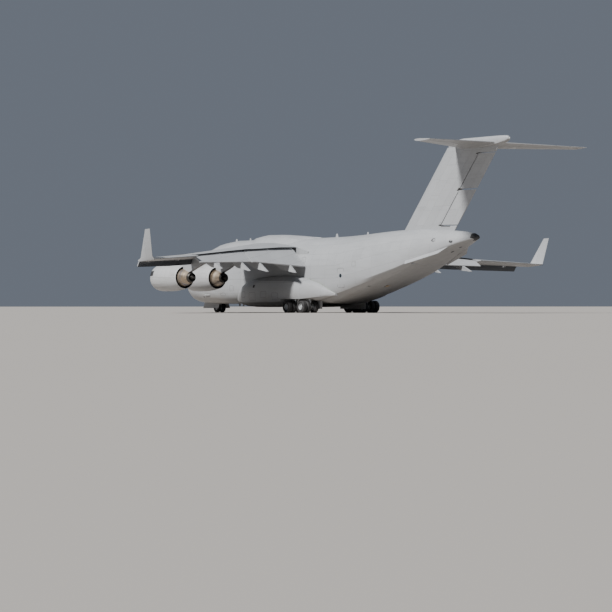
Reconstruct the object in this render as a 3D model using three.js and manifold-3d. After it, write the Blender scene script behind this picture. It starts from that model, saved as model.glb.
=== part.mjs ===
// A four-engined military transport plane: high swept wing with winglets, T tail, a rear loading ramp and
// twelve main wheels under side pods. It stands on its gear with the flaps part down, as a 1:2 scale model.
// Every size below is in millimetres of the full-size aircraft; the outer group scales it to 1:2.
// X points to the nose, Y to the left wing and Z up. The origin is on the ground, midway along the length.
import * as THREE from "three";
import { mergeVertices } from "three/addons/utils/BufferGeometryUtils.js";
import Module from "manifold-3d";

const wasm = await Module();
wasm.setup();

const SCALE = 0.5;
const LENGTH = 53040;
const NOSE_X = LENGTH / 2;
const GAP = 0.8; // between two faces that touch
const RUNNING = 24; // between a moving piece and its neighbours
const PIN_CLEARANCE = 1;
const WALL = 160; // fuselage wall with its frames and lining
const FLOOR_Z = 1630; // top of the cargo floor

// Fuselage sections: distance aft of the nose, half width, lowest, widest and highest levels, belly squareness.
const FUSELAGE = [
  { s: 0, half: 60, belly: 2940, mid: 3000, top: 3060, square: 2.0 },
  { s: 200, half: 430, belly: 2560, mid: 3000, top: 3400, square: 2.0 },
  { s: 700, half: 900, belly: 2080, mid: 2990, top: 3860, square: 2.1 },
  { s: 1500, half: 1460, belly: 1620, mid: 2980, top: 4450, square: 2.2 },
  { s: 2600, half: 2070, belly: 1250, mid: 3080, top: 5060, square: 2.5 },
  { s: 3300, half: 2390, belly: 1130, mid: 3230, top: 5500, square: 2.7 },
  { s: 4400, half: 2770, belly: 1020, mid: 3520, top: 6330, square: 3.1 },
  { s: 5800, half: 3100, belly: 960, mid: 3860, top: 7060, square: 3.7 },
  { s: 7600, half: 3330, belly: 940, mid: 4180, top: 7570, square: 4.4 },
  { s: 10000, half: 3430, belly: 940, mid: 4400, top: 7800, square: 5.0 },
  { s: 20000, half: 3430, belly: 940, mid: 4400, top: 7800, square: 5.0 },
  { s: 25500, half: 3430, belly: 940, mid: 4400, top: 7780, square: 5.0 },
  { s: 28600, half: 3430, belly: 940, mid: 4400, top: 7800, square: 5.0 },
  { s: 30600, half: 3430, belly: 1450, mid: 4400, top: 7870, square: 5.0 },
  { s: 32400, half: 3420, belly: 1930, mid: 4440, top: 7960, square: 5.0 },
  { s: 34600, half: 3390, belly: 2560, mid: 4600, top: 8090, square: 5.0 },
  { s: 36600, half: 3300, belly: 3150, mid: 4900, top: 8190, square: 5.0 },
  { s: 39200, half: 2960, belly: 3920, mid: 5400, top: 8270, square: 5.0 },
  { s: 41600, half: 2430, belly: 4820, mid: 5950, top: 8250, square: 4.6 },
  { s: 44200, half: 1780, belly: 5760, mid: 6480, top: 8080, square: 4.0 },
  { s: 46600, half: 1080, belly: 6560, mid: 7000, top: 7870, square: 3.2 },
  { s: 48000, half: 510, belly: 6980, mid: 7240, top: 7650, square: 2.6 },
  { s: 48500, half: 180, belly: 7120, mid: 7240, top: 7440, square: 2.0 },
];
const RING_POINTS = 24;
const LINING_POINTS = 16;
const RADOME_END = 1500;
const FORWARD_END = 13500;
const CENTRE_END = 27600;

// Wing sections: distance out from the middle, leading edge station, chord, level of the leading edge,
// thickness, and the slope of the chord, which is positive where the trailing edge is the higher.
const WING = [
  { y: 0, s: 13590, chord: 11300, z: 6720, thick: 0.13, slope: -0.05 },
  { y: 3300, s: 15450, chord: 10200, z: 6660, thick: 0.14, slope: -0.045 },
  { y: 10500, s: 19510, chord: 7000, z: 6030, thick: 0.126, slope: 0.018 },
  { y: 18530, s: 24040, chord: 4200, z: 5420, thick: 0.115, slope: 0.036 },
  { y: 25150, s: 27770, chord: 2820, z: 5050, thick: 0.11, slope: 0.05 },
];
const FLAP_SHARE = 0.7; // chord share where the flaps and ailerons begin
const FLAPS = [
  {
    key: "inboard", from: 3560, to: 10830,
    supports: [{ y: 5600, tail: 3860, lift: 0.175 }, { y: 9800, tail: 3790, lift: 0.162 }],
  },
  {
    key: "outboard", from: 11110, to: 18300,
    supports: [{ y: 12400, tail: 3400, lift: 0.157 }, { y: 16200, tail: 2760, lift: 0.196 }],
  },
];
const FLAP_REST_DEG = 28;
const FLAP_HINGE_DROP = 620; // below the underside of the wing
const AILERON = { from: 18620, to: 24300 };

const ENGINES = [
  { key: "left_outboard", y: 14000, lip: 14800, z: 3600 },
  { key: "left_inboard", y: 8100, lip: 12150, z: 3620 },
  { key: "right_inboard", y: -8100, lip: 12150, z: 3620 },
  { key: "right_outboard", y: -14000, lip: 14800, z: 3600 },
];

const FIN = [
  { z: 7500, s: 37050, chord: 7650, thick: 0.13 },
  { z: 16020, s: 44100, chord: 7480, thick: 0.105 },
];
const PYLON_HALF = 190;

const RUDDER_SHARE = 0.72;
const RUDDER_END_GAP = 85; // its level ends rise and fall as it turns about its raked hinge line
const RUDDERS = [
  { key: "lower", from: 8560, to: 11840 },
  { key: "upper", from: 12010, to: 15250 },
];
const TAILPLANE = [
  { y: 0, s: 45350, chord: 5900, z: 16180, thick: 0.11 },
  { y: 9905, s: 50840, chord: 2200, z: 16000, thick: 0.1 },
];
const ELEVATOR_SHARE = 0.72;
const ELEVATOR = { from: 850, to: 9500 };

const TYRE_SIDES = 18;
const MAIN_TYRE = { radius: 635, width: 500, rim: 290 };
const NOSE_TYRE = { radius: 508, width: 390, rim: 220 };
const MAIN_WHEELS = [3220, 4160, 4740]; // out from the middle, for each of the three on one axle
const MAIN_POST_Y = 3700;
const MAIN_AXLES = [
  { key: "front", s: 24450 },
  { key: "rear", s: 26870 },
];
const NOSE_AXLE_S = 5600;
const NOSE_WHEEL_Y = 330;
const AXLE_RADIUS = 90;
const AXLE_SIDES = 12;

const RAMP = { hinge: { s: 28600, z: 1490 }, end: 34600, half: 2460, endThick: 260, swing: 22 };
const AFT_DOOR = { end: 41300, half: 2120, thick: 260, seam: 40 };
const SEAM_LEAN = 0.33; // forward per unit up, of the seam between the ramp and the aft door
const CREW_DOOR = { from: 7350, to: 8250, high: 3650, hingeY: 3165, hingeZ: 1880, barrel: 75 };

const materials = {
  grey: new THREE.MeshStandardMaterial({ color: 0xb9bcbe, roughness: 0.55, metalness: 0.1 }),
  radome: new THREE.MeshStandardMaterial({ color: 0xb2b6b9, roughness: 0.6, metalness: 0.0 }),
  glass: new THREE.MeshStandardMaterial({ color: 0x1d2730, roughness: 0.1, metalness: 0.0 }),
  floor: new THREE.MeshStandardMaterial({ color: 0x6f7376, roughness: 0.6, metalness: 0.4 }),
  interior: new THREE.MeshStandardMaterial({ color: 0x4b5054, roughness: 0.7, metalness: 0.0 }),
  cowl: new THREE.MeshStandardMaterial({ color: 0xb4b8bb, roughness: 0.5, metalness: 0.15 }),
  hot_metal: new THREE.MeshStandardMaterial({ color: 0x9c8468, roughness: 0.4, metalness: 0.9 }),
  fan: new THREE.MeshStandardMaterial({ color: 0x4a4c4f, roughness: 0.35, metalness: 0.9 }),
  gear: new THREE.MeshStandardMaterial({ color: 0xe3e4e2, roughness: 0.4, metalness: 0.1 }),
  tyre: new THREE.MeshStandardMaterial({ color: 0x1b1b1c, roughness: 0.85, metalness: 0.0 }),
};

const at = (s, y, z) => new THREE.Vector3(NOSE_X - s, y, z);

// A closed geometry as a boolean solid, with its shared vertices merged.
function solidOf(geometry) {
  const bare = geometry.clone();
  bare.deleteAttribute("normal");
  bare.deleteAttribute("uv");
  const merged = mergeVertices(bare, 1e-2);
  const mesh = new wasm.Mesh({
    numProp: 3,
    vertProperties: merged.attributes.position.array,
    triVerts: new Uint32Array(merged.index.array),
  });
  return new wasm.Manifold(mesh);
}

function geometryOf(solid) {
  const mesh = solid.getMesh();
  const positions = new Float32Array(mesh.numVert * 3);
  for (let i = 0; i < mesh.numVert; i += 1) {
    positions.set(mesh.vertProperties.subarray(i * mesh.numProp, i * mesh.numProp + 3), i * 3);
  }
  return new THREE.BufferGeometry()
    .setAttribute("position", new THREE.BufferAttribute(positions, 3))
    .setIndex(new THREE.BufferAttribute(mesh.triVerts, 1));
}

// A solid from its corners and faces, turned to face out whichever way they ran.
function facingOut(positions, faces) {
  const corner = (i) => new THREE.Vector3().fromArray(positions, 3 * i);
  let volume = 0;
  for (let i = 0; i < faces.length; i += 3) {
    volume += corner(faces[i]).dot(corner(faces[i + 1]).cross(corner(faces[i + 2])));
  }
  if (volume < 0) faces.reverse();
  const geometry = new THREE.BufferGeometry();
  geometry.setAttribute("position", new THREE.Float32BufferAttribute(positions, 3));
  geometry.setIndex(faces);
  return solidOf(geometry);
}

// A closed solid through rings of equally many points, capped at both ends.
function loft(rings) {
  const count = rings[0].length;
  const positions = rings.flat().flatMap((p) => [p.x, p.y, p.z]);
  const faces = [];
  for (let r = 0; r + 1 < rings.length; r += 1) {
    for (let i = 0; i < count; i += 1) {
      const a = r * count + i;
      const b = r * count + ((i + 1) % count);
      faces.push(a, b, a + count, b, b + count, a + count);
    }
  }
  [0, rings.length - 1].forEach((r) => {
    const middle = positions.length / 3;
    const centre = rings[r].reduce((sum, p) => sum.add(p), new THREE.Vector3()).divideScalar(count);
    positions.push(centre.x, centre.y, centre.z);
    for (let i = 0; i < count; i += 1) {
      const a = r * count + i;
      const b = r * count + ((i + 1) % count);
      if (r === 0) faces.push(b, a, middle);
      else faces.push(a, b, middle);
    }
  });
  return facingOut(positions, faces);
}

function box(low, high) {
  const size = new THREE.Vector3().subVectors(high, low);
  const made = new THREE.BoxGeometry(Math.abs(size.x), Math.abs(size.y), Math.abs(size.z));
  const middle = new THREE.Vector3().addVectors(low, high).divideScalar(2);
  return solidOf(made.translate(middle.x, middle.y, middle.z));
}

// A box between two stations, two distances out and two levels.
const block = (s0, s1, y0, y1, z0, z1) => box(at(s0, y0, z0), at(s1, y1, z1));

// A round bar from one point to another, with its facets turned round its own line.
function rod(from, to, radius, sides = 12, endRadius = radius, turned = Math.PI / sides) {
  const along = new THREE.Vector3().subVectors(to, from);
  const made = new THREE.CylinderGeometry(endRadius, radius, along.length(), sides);
  made.rotateY(turned);
  const turn = new THREE.Quaternion().setFromUnitVectors(
    new THREE.Vector3(0, 1, 0), along.clone().normalize());
  made.applyQuaternion(turn);
  const middle = new THREE.Vector3().addVectors(from, to).divideScalar(2);
  return solidOf(made.translate(middle.x, middle.y, middle.z));
}

// A flat outline of [station, level] pairs, extruded between two distances out.
function profileSlab(outline, y0, y1) {
  const rings = [y0, y1].map((y) => outline.map(([s, z]) => at(s, y, z)));
  return capped(rings);
}

// Two parallel rings joined, with their ends cut into triangles, so that the outline may be concave.
function capped(rings) {
  const count = rings[0].length;
  const positions = rings.flat().flatMap((p) => [p.x, p.y, p.z]);
  const origin = rings[0][0];
  const normal = new THREE.Vector3();
  for (let i = 0; i < count; i += 1) {
    const a = rings[0][i].clone().sub(origin);
    normal.add(a.cross(rings[0][(i + 1) % count].clone().sub(origin)));
  }
  normal.normalize();
  const across = rings[0][1].clone().sub(origin).normalize();
  const up = normal.clone().cross(across);
  const flat = rings[0].map((p) => {
    const q = p.clone().sub(origin);
    return new THREE.Vector2(q.dot(across), q.dot(up));
  });
  const faces = [];
  THREE.ShapeUtils.triangulateShape(flat, []).forEach(([a, b, c]) => {
    faces.push(c, b, a, a + count, b + count, c + count);
  });
  for (let i = 0; i < count; i += 1) {
    const j = (i + 1) % count;
    faces.push(i, j, i + count, j, j + count, i + count);
  }
  return facingOut(positions, faces);
}

// A solid of revolution about a fore-and-aft line, from [station, radius] pairs that close on themselves.
function turned(profile, y, z, sides, closed) {
  const points = profile.map(([s, r]) => new THREE.Vector2(r, s));
  if (closed) points.push(points[0].clone());
  const made = new THREE.LatheGeometry(points, sides);
  made.rotateZ(Math.PI / 2);
  made.rotateX(Math.PI / sides);
  made.translate(NOSE_X, y, z);
  return latheSolid(made);
}

// The geometry of a lathe as a solid, without the empty faces along its own line.
function latheSolid(geometry) {
  const bare = geometry.clone();
  bare.deleteAttribute("normal");
  bare.deleteAttribute("uv");
  const merged = mergeVertices(bare, 1e-2);
  const index = Array.from(merged.index.array);
  const kept = [];
  for (let i = 0; i < index.length; i += 3) {
    const [a, b, c] = index.slice(i, i + 3);
    if (a !== b && b !== c && a !== c) kept.push(a, b, c);
  }
  return facingOut(Array.from(merged.attributes.position.array), kept);
}

const largest = (solid) =>
  solid.decompose().reduce((best, piece) => (piece.volume() > best.volume() ? piece : best));

const between = (a, b, share) => a + (b - a) * share;

// A table's row at a place along it, worked out between its neighbours.
function rowAt(table, key, value) {
  const last = table.length - 1;
  let i = 0;
  while (i < last - 1 && value > table[i + 1][key]) i += 1;
  const share = (value - table[i][key]) / (table[i + 1][key] - table[i][key]);
  const row = {};
  Object.keys(table[i]).forEach((name) => {
    row[name] = between(table[i][name], table[i + 1][name], share);
  });
  return row;
}

function fuselageRing(row, grow, points) {
  const ring = [];
  for (let i = 0; i < points; i += 1) {
    const turn = (2 * Math.PI * (i + 0.5)) / points;
    const c = Math.cos(turn);
    const v = Math.sin(turn);
    const power = v > 0 ? 1 : 2 / row.square;
    const reach = v > 0 ? row.top - row.mid : row.mid - row.belly;
    const across = Math.sign(c) * Math.abs(c) ** power * (row.half + grow);
    const level = row.mid + Math.sign(v) * Math.abs(v) ** power * (reach + grow);
    ring.push(at(row.s, across, level));
  }
  return ring;
}

// The fuselage's outer form between two stations, grown or shrunk by a thickness.
function hull(from, to, grow = 0, points = RING_POINTS) {
  const inside = FUSELAGE.filter((row) => row.s > from + 1 && row.s < to - 1);
  const rows = [rowAt(FUSELAGE, "s", from), ...inside, rowAt(FUSELAGE, "s", to)];
  return loft(rows.map((row) => fuselageRing(row, grow, points)));
}

// An aerofoil outline as [share of chord, share of chord up], from the upper trailing edge round the nose.
const AEROFOIL_SHARES = [1, 0.85, 0.62, 0.38, 0.17, 0.05, 0.01];
const CAMBER = 0.012;
const EDGE_HALF = 0.0035; // half the thickness of the trailing edge, as a share of the chord
const thicknessShare = (thick, u) => 5 * thick * (0.2969 * Math.sqrt(u) - 0.126 * u - 0.3516 * u ** 2
  + 0.2843 * u ** 3 - 0.0985 * u ** 4);

function aerofoil(thick, camber = CAMBER) {
  const half = (u) => thicknessShare(thick, u) + EDGE_HALF * u;
  const line = (u) => camber * 4 * u * (1 - u);
  const upper = AEROFOIL_SHARES.map((u) => [u, line(u) + half(u)]);
  const lower = AEROFOIL_SHARES.map((u) => [u, line(u) - half(u)]).reverse();
  return [...upper, [0, 0], ...lower];
}

// Points of a wing section, kept to a stretch of its chord and grown outwards.
function wingRing(row, side, grow = 0) {
  return aerofoil(row.thick).map(([u, v], i, all) => {
    const before = all[(i + all.length - 1) % all.length];
    const after = all[(i + 1) % all.length];
    const run = new THREE.Vector2(after[0] - before[0], after[1] - before[1]).normalize();
    const out = new THREE.Vector2(run.y, -run.x);
    const aft = u * row.chord + out.x * grow;
    const rise = v * row.chord + out.y * grow;
    return at(row.s + aft, side * row.y, row.z + rise + aft * row.slope);
  });
}

const wingRowAt = (y) => rowAt(WING, "y", y);

function wingLoft(side, from, to, grow = 0) {
  const inside = WING.filter((row) => row.y > from + 1 && row.y < to - 1);
  const rows = [wingRowAt(from), ...inside, wingRowAt(to)];
  return loft(rows.map((row) => wingRing(row, side, grow)));
}

const wingForm = (side, grow = 0) => wingLoft(side, GAP, WING[WING.length - 1].y, grow);

// A point of the wing at a distance out, a share of the chord, and a height over the chord line.
function wingPoint(side, y, share, height) {
  const row = wingRowAt(y);
  const aft = share * row.chord;
  const camber = CAMBER * 4 * share * (1 - share) * row.chord;
  return at(row.s + aft, side * y, row.z + height + aft * row.slope + camber);
}

const halfThickness = (thick, chord, u) => chord * thicknessShare(thick, u);

// A tall prism over the part of the wing behind a share of its chord, to split off flaps and ailerons.
function wingSplit(side, from, to, shareAt, reach, ahead = 0) {
  const corners = (y) => {
    const row = wingRowAt(y);
    const start = row.s + shareAt * row.chord - ahead;
    return [[start, -reach], [row.s + row.chord + 900, -reach], [row.s + row.chord + 900, reach], [start, reach]]
      .map(([s, z]) => at(s, side * y, row.z + z));
  };
  const inside = WING.filter((row) => row.y > from + 1 && row.y < to - 1).map((row) => row.y);
  return loft([from, ...inside, to].map(corners));
}

const root = new THREE.Group();
root.scale.setScalar(SCALE);

function add(name, solid, material, parent = root) {
  const mesh = new THREE.Mesh(geometryOf(solid), material);
  mesh.name = name;
  parent.add(mesh);
  return mesh;
}

// A piece that turns about a hinge line: the group's own Z axis is the line, and restDeg turns it to its rest.
function hinged(name, solid, material, origin, axis, restDeg = 0, parent = root) {
  const pivot = new THREE.Group();
  pivot.name = "pivot_" + name;
  pivot.position.copy(origin);
  pivot.quaternion.setFromUnitVectors(new THREE.Vector3(0, 0, 1), axis.clone().normalize());
  pivot.updateMatrix();
  const mesh = add(name, solid, material, pivot);
  mesh.geometry.applyMatrix4(pivot.matrix.clone().invert());
  pivot.rotateZ(THREE.MathUtils.degToRad(restDeg));
  parent.add(pivot);
  return pivot;
}

// The bore that a pin runs in: its flats stay just clear of the pin's corners as the pin turns.
function bore(from, to, radius, sides) {
  const wide = (radius + PIN_CLEARANCE) / Math.cos(Math.PI / sides);
  return rod(from, to, wide, sides, wide, 0);
}

// Hinges a moving solid to a fixed one by a stub pin past each end of its hinge line.
function pinned(fixed, moving, from, to, radius, inside, outside) {
  const sides = 10;
  const along = new THREE.Vector3().subVectors(to, from).normalize();
  const step = (p, d) => p.clone().addScaledVector(along, d);
  const stubs = [[step(from, -outside), step(from, inside)], [step(to, -inside), step(to, outside)]];
  let held = fixed;
  let turning = moving;
  stubs.forEach(([a, b]) => {
    held = held.add(rod(a, b, radius, sides));
    const longer = [step(a, -2 * PIN_CLEARANCE), step(b, 2 * PIN_CLEARANCE)];
    turning = turning.subtract(bore(longer[0], longer[1], radius, sides));
  });
  return [held, turning];
}

// Fuselage

const innerHull = (from, to, extra = 0) => hull(from, to, -WALL - extra, LINING_POINTS);

const DECK_Z = 3950; // flight deck floor
const DECK_THICK = 200;
const DECK_BACK = 9400;
const HOLD_FRONT = 6900;
const CAB_FRONT = 2300;
const GLASS = 45;
const NOSE_BAY = { from: 3500, to: 6500, half: 640, top: 2300 };

// Cockpit window openings, cut straight back for the front panes and straight in for the side panes.
const FRONT_PANES = [[60, 1010], [1130, 1900]];
const SIDE_PANES = [[3720, 4560], [4680, 5320]];
const PANE_LOW = 4700;
const PANE_HIGH = 5560;

function windowCuts() {
  const cuts = [];
  [1, -1].forEach((side) => {
    FRONT_PANES.forEach(([near, far]) => {
      cuts.push(block(1900, 4350, side * near, side * far, PANE_LOW, PANE_HIGH));
    });
    SIDE_PANES.forEach(([front, back]) => {
      cuts.push(block(front, back, side * 1500, side * 3600, PANE_LOW, PANE_HIGH));
    });
  });
  return cuts;
}

function makeForward() {
  let cavity = innerHull(CAB_FRONT, FORWARD_END + 200);
  cavity = cavity.subtract(block(0, HOLD_FRONT, -4000, 4000, 0, DECK_Z));
  cavity = cavity.subtract(block(0, DECK_BACK + 160, -4000, 4000, DECK_Z - DECK_THICK, DECK_Z));
  cavity = cavity.subtract(block(DECK_BACK, DECK_BACK + 160, -4000, 4000, DECK_Z - 10, 9000));
  let body = hull(RADOME_END + GAP, FORWARD_END, 0).subtract(cavity);
  windowCuts().forEach((cut) => {
    body = body.subtract(cut);
  });
  body = body.subtract(block(NOSE_BAY.from, NOSE_BAY.to, -NOSE_BAY.half, NOSE_BAY.half, 0, NOSE_BAY.top));
  const door = CREW_DOOR;
  const opening = block(door.from, door.to, 1500, 4200, door.hingeZ, door.high);
  const room = block(door.from - RUNNING, door.to + RUNNING, 1500, 4200, door.hingeZ - door.barrel - RUNNING,
    door.high + RUNNING);
  const ends = [door.to, door.from].map((s) => at(s, door.hingeY, door.hingeZ));
  let panel = hull(5000, 12000).subtract(innerHull(5000, 12000)).intersect(opening);
  panel = panel.add(rod(ends[0], ends[1], door.barrel, 16));
  [body, panel] = pinned(body.subtract(room), panel, ends[0], ends[1], 26, 60, 90);
  return { body: largest(body), panel: largest(panel), hinge: ends[0] };
}

// The cabin's hollow, shrunk by a thickness.
const cabin = (extra) => innerHull(CAB_FRONT + extra, FORWARD_END + 200, extra);

function makeGlass() {
  const band = block(1500, 5450, -4000, 4000, PANE_LOW - 90, PANE_HIGH + 90);
  return largest(cabin(GAP).intersect(band).subtract(cabin(GAP + GLASS)));
}

const SEATS = [
  { s: 3950, y: 620 },
  { s: 3950, y: -620 },
  { s: 5900, y: 900 },
  { s: 5900, y: -900 },
];

// The flight deck's floor with its four seats, the instrument panel and the middle console.
function makeFlightDeck() {
  const inside = cabin(2 * GAP + GLASS).intersect(block(CAB_FRONT + 250, DECK_BACK - GAP, -4000, 4000, 0, 9000));
  const floor = cabin(GAP).intersect(block(CAB_FRONT + 250, DECK_BACK - GAP, -4000, 4000, DECK_Z + GAP, DECK_Z + 60));
  let deck = block(3150, 3450, -1500, 1500, DECK_Z + 50, DECK_Z + 820);
  deck = deck.add(block(3400, 4400, -170, 170, DECK_Z + 50, DECK_Z + 420));
  SEATS.forEach(({ s, y }) => {
    deck = deck.add(block(s, s + 560, y - 270, y + 270, DECK_Z + 50, DECK_Z + 480));
    deck = deck.add(block(s + 470, s + 610, y - 250, y + 250, DECK_Z + 400, DECK_Z + 1250));
  });
  return largest(floor.add(deck.intersect(inside)));
}

// A fan-shaped outline about a point, between two angles, where 0 degrees points aft and 90 up.
function sector(centre, radius, fromDeg, toDeg, steps = 8) {
  const outline = [[centre.s, centre.z]];
  for (let i = 0; i <= steps; i += 1) {
    const turn = THREE.MathUtils.degToRad(between(fromDeg, toDeg, i / steps));
    outline.push([centre.s + radius * Math.cos(turn), centre.z + radius * Math.sin(turn)]);
  }
  return outline;
}

const RAMP_BARREL = 130;
const RAMP_ROOT = 520;
const rampRise = rowAt(FUSELAGE, "s", RAMP.end).belly + RAMP.endThick - FLOOR_Z;
const rampSlopeDeg = THREE.MathUtils.radToDeg(Math.atan2(rampRise, RAMP.end - RAMP.hinge.s));

// The ramp's side outline: a plate along the belly with a round root about its hinge.
function makeRamp() {
  const { hinge } = RAMP;
  const topEnd = FLOOR_Z + rampRise;
  const deep = 900;
  const plate = profileSlab([
    [hinge.s - 20, FLOOR_Z],
    [hinge.s - 20, 500],
    [RAMP.end + SEAM_LEAN * deep, topEnd - deep],
    [RAMP.end, topEnd],
  ], -RAMP.half, RAMP.half);
  const barrel = rod(at(hinge.s, -RAMP.half, hinge.z), at(hinge.s, RAMP.half, hinge.z), RAMP_BARREL, 24);
  const rootPiece = profileSlab(sector(hinge, RAMP_ROOT, 190 + rampSlopeDeg + RAMP.swing, 275), -RAMP.half, RAMP.half);
  return plate.add(rootPiece).intersect(hull(hinge.s - 800, RAMP.end + 900)).add(barrel);
}

// The space that the closed and the moving ramp need in the fuselage and the floor.
function rampOpening() {
  const { hinge } = RAMP;
  const wide = RAMP.half + RUNNING;
  const topEnd = FLOOR_Z + rampRise;
  const deep = 2600;
  const plate = profileSlab([
    [hinge.s - 40, FLOOR_Z + 900],
    [hinge.s - 40, -800],
    [RAMP.end + SEAM_LEAN * deep, topEnd - deep],
    [RAMP.end + 60, topEnd + 400],
  ], -wide, wide);
  const barrel = rod(at(hinge.s, -wide, hinge.z), at(hinge.s, wide, hinge.z), RAMP_BARREL + RUNNING, 24);
  const rootSpace = profileSlab(sector(hinge, RAMP_ROOT + RUNNING, 186, 285), -wide, wide);
  return plate.add(barrel).add(rootSpace);
}

const doorBelly = rowAt(FUSELAGE, "s", AFT_DOOR.end).belly;
const DOOR_HINGE = { s: AFT_DOOR.end, z: doorBelly + 140 };
const DOOR_BARREL = 105;

// The aft cargo door: the belly behind the ramp, hinged at its aft end to swing up inside.
function makeAftDoor() {
  const seamTop = FLOOR_Z + rampRise;
  const front = RAMP.end + AFT_DOOR.seam;
  const inside = rowAt(FUSELAGE, "s", AFT_DOOR.end).belly + AFT_DOOR.thick;
  const insideFront = rowAt(FUSELAGE, "s", front).belly + AFT_DOOR.thick;
  const slab = profileSlab([
    [front - SEAM_LEAN * (insideFront - seamTop), insideFront],
    [front + SEAM_LEAN * 900, seamTop - 900],
    [AFT_DOOR.end, 2500],
    [AFT_DOOR.end, inside],
  ], -AFT_DOOR.half, AFT_DOOR.half);
  const ends = [-1, 1].map((side) => at(DOOR_HINGE.s, side * AFT_DOOR.half, DOOR_HINGE.z));
  return slab.intersect(hull(RAMP.end - 400, AFT_DOOR.end + 10)).add(rod(ends[0], ends[1], DOOR_BARREL, 20));
}

function aftDoorOpening() {
  const wide = AFT_DOOR.half + RUNNING;
  const seamTop = FLOOR_Z + rampRise;
  const slab = profileSlab([
    [RAMP.end - 200, seamTop + 900],
    [RAMP.end + SEAM_LEAN * 2600, seamTop - 2600],
    [AFT_DOOR.end + 30, 500],
    [AFT_DOOR.end + 30, DOOR_HINGE.z + 900],
  ], -wide, wide);
  const ends = [-1, 1].map((side) => at(DOOR_HINGE.s, side * wide, DOOR_HINGE.z));
  return slab.add(rod(ends[0], ends[1], DOOR_BARREL + RUNNING, 20));
}

// Each strake's outline: station, distance out and level, from its front root to its aft root.
const STRAKE = [
  { s: 40600, y: 2500, z: 5180 },
  { s: 40850, y: 2760, z: 4760 },
  { s: 44700, y: 1820, z: 5740 },
  { s: 45700, y: 1180, z: 6480 },
];
const STRAKE_THICK = 90;

// A flat fin along the lower corner of the tail, canted out and down.
function strake(side) {
  const outline = STRAKE.map(({ s, y, z }) => at(s, side * y, z));
  const across = new THREE.Vector3().subVectors(outline[1], outline[0]);
  const thick = new THREE.Vector3().subVectors(outline[2], outline[1]).cross(across).setLength(STRAKE_THICK / 2);
  return loft([-1, 1].map((k) => outline.map((p) => p.clone().addScaledVector(thick, k))));
}

function makeAft() {
  let body = hull(CENTRE_END + GAP, 48500).subtract(innerHull(CENTRE_END - 100, 44400));
  body = body.subtract(rampOpening()).subtract(aftDoorOpening());
  [1, -1].forEach((side) => {
    body = body.add(strake(side).subtract(innerHull(CENTRE_END, 44400)));
  });
  const rampEnds = [-1, 1].map((side) => at(RAMP.hinge.s, side * RAMP.half, RAMP.hinge.z));
  const doorEnds = [-1, 1].map((side) => at(DOOR_HINGE.s, side * AFT_DOOR.half, DOOR_HINGE.z));
  let ramp = makeRamp();
  let door = makeAftDoor();
  [body, ramp] = pinned(body, ramp, rampEnds[0], rampEnds[1], 60, 160, 260);
  [body, door] = pinned(body, door, doorEnds[0], doorEnds[1], 45, 140, 200);
  return { body: largest(body), ramp: largest(ramp), door: largest(door) };
}

function makeFloor() {
  const { hinge } = RAMP;
  const inside = innerHull(CAB_FRONT, CENTRE_END + 3000, GAP);
  let floor = inside.intersect(block(HOLD_FRONT + GAP, hinge.s - 30, -4000, 4000, 0, FLOOR_Z));
  [1, -1].forEach((side) => {
    floor = floor.subtract(block(hinge.s - 160, hinge.s, side * RAMP.half, side * 3200, 0, FLOOR_Z + 10));
  });
  return largest(floor.subtract(rampOpening()));
}

// The fairing over the middle of the wing, on top of the fuselage.
const HUMP = [
  { s: 12300, half: 300, top: 7860 },
  { s: 13400, half: 1500, top: 8080 },
  { s: 15400, half: 2400, top: 8280 },
  { s: 18000, half: 2550, top: 8240 },
  { s: 20500, half: 2100, top: 8080 },
  { s: 22800, half: 1300, top: 7900 },
  { s: 24000, half: 300, top: 7830 },
];

function humpLoft() {
  return loft(HUMP.map((row) => {
    const ring = [];
    for (let i = 0; i < 20; i += 1) {
      const turn = (2 * Math.PI * (i + 0.5)) / 20;
      const reach = Math.sin(turn) > 0 ? row.top - 6900 : 500;
      ring.push(at(row.s, row.half * Math.cos(turn), 6900 + reach * Math.sin(turn)));
    }
    return ring;
  }));
}

function makeHump() {
  let fairing = humpLoft().subtract(hull(12000, 33000, GAP));
  [1, -1].forEach((side) => {
    fairing = fairing.subtract(wingForm(side, GAP));
  });
  return largest(fairing);
}

function makeCentre() {
  let body = hull(FORWARD_END + GAP, CENTRE_END).subtract(innerHull(FORWARD_END - 200, CENTRE_END + 200));
  [1, -1].forEach((side) => {
    body = body.subtract(wingForm(side, GAP));
  });
  return largest(body);
}

// Wing, flaps, ailerons, slats

const hingeLine = (side, from, to, share, drop) =>
  [from, to].map((y) => wingPoint(side, y, share, drop(y)));

function flapDrop(y) {
  const row = wingRowAt(y);
  return -halfThickness(row.thick, row.chord, FLAP_SHARE) - FLAP_HINGE_DROP * (row.chord / 8000);
}

const SUPPORT = { half: 170, tongue: 60, pin: 45, arm: 110, square: 160 };

// A slab on a flap's hinge line, from an outline of [aft, up] pairs about the pin, between two distances
// out along the line. It is square to the line near the pin, and runs straight aft beyond that.
function hingeSlab(pin, along, outline, from, to) {
  const aft = new THREE.Vector3(-1, 0, 0);
  const sweep = aft.dot(along);
  aft.addScaledVector(along, -sweep).normalize();
  const lean = (a) => Math.sign(a) * Math.max(0, Math.abs(a) - SUPPORT.square) * (sweep / Math.sqrt(1 - sweep ** 2));
  const up = new THREE.Vector3().crossVectors(aft, along).normalize();
  if (up.z < 0) up.negate();
  const rings = [from, to].map((d) => outline.map(([a, u]) => pin.clone()
    .addScaledVector(aft, a).addScaledVector(up, u).addScaledVector(along, d + lean(a))));
  return capped(rings);
}


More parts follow.
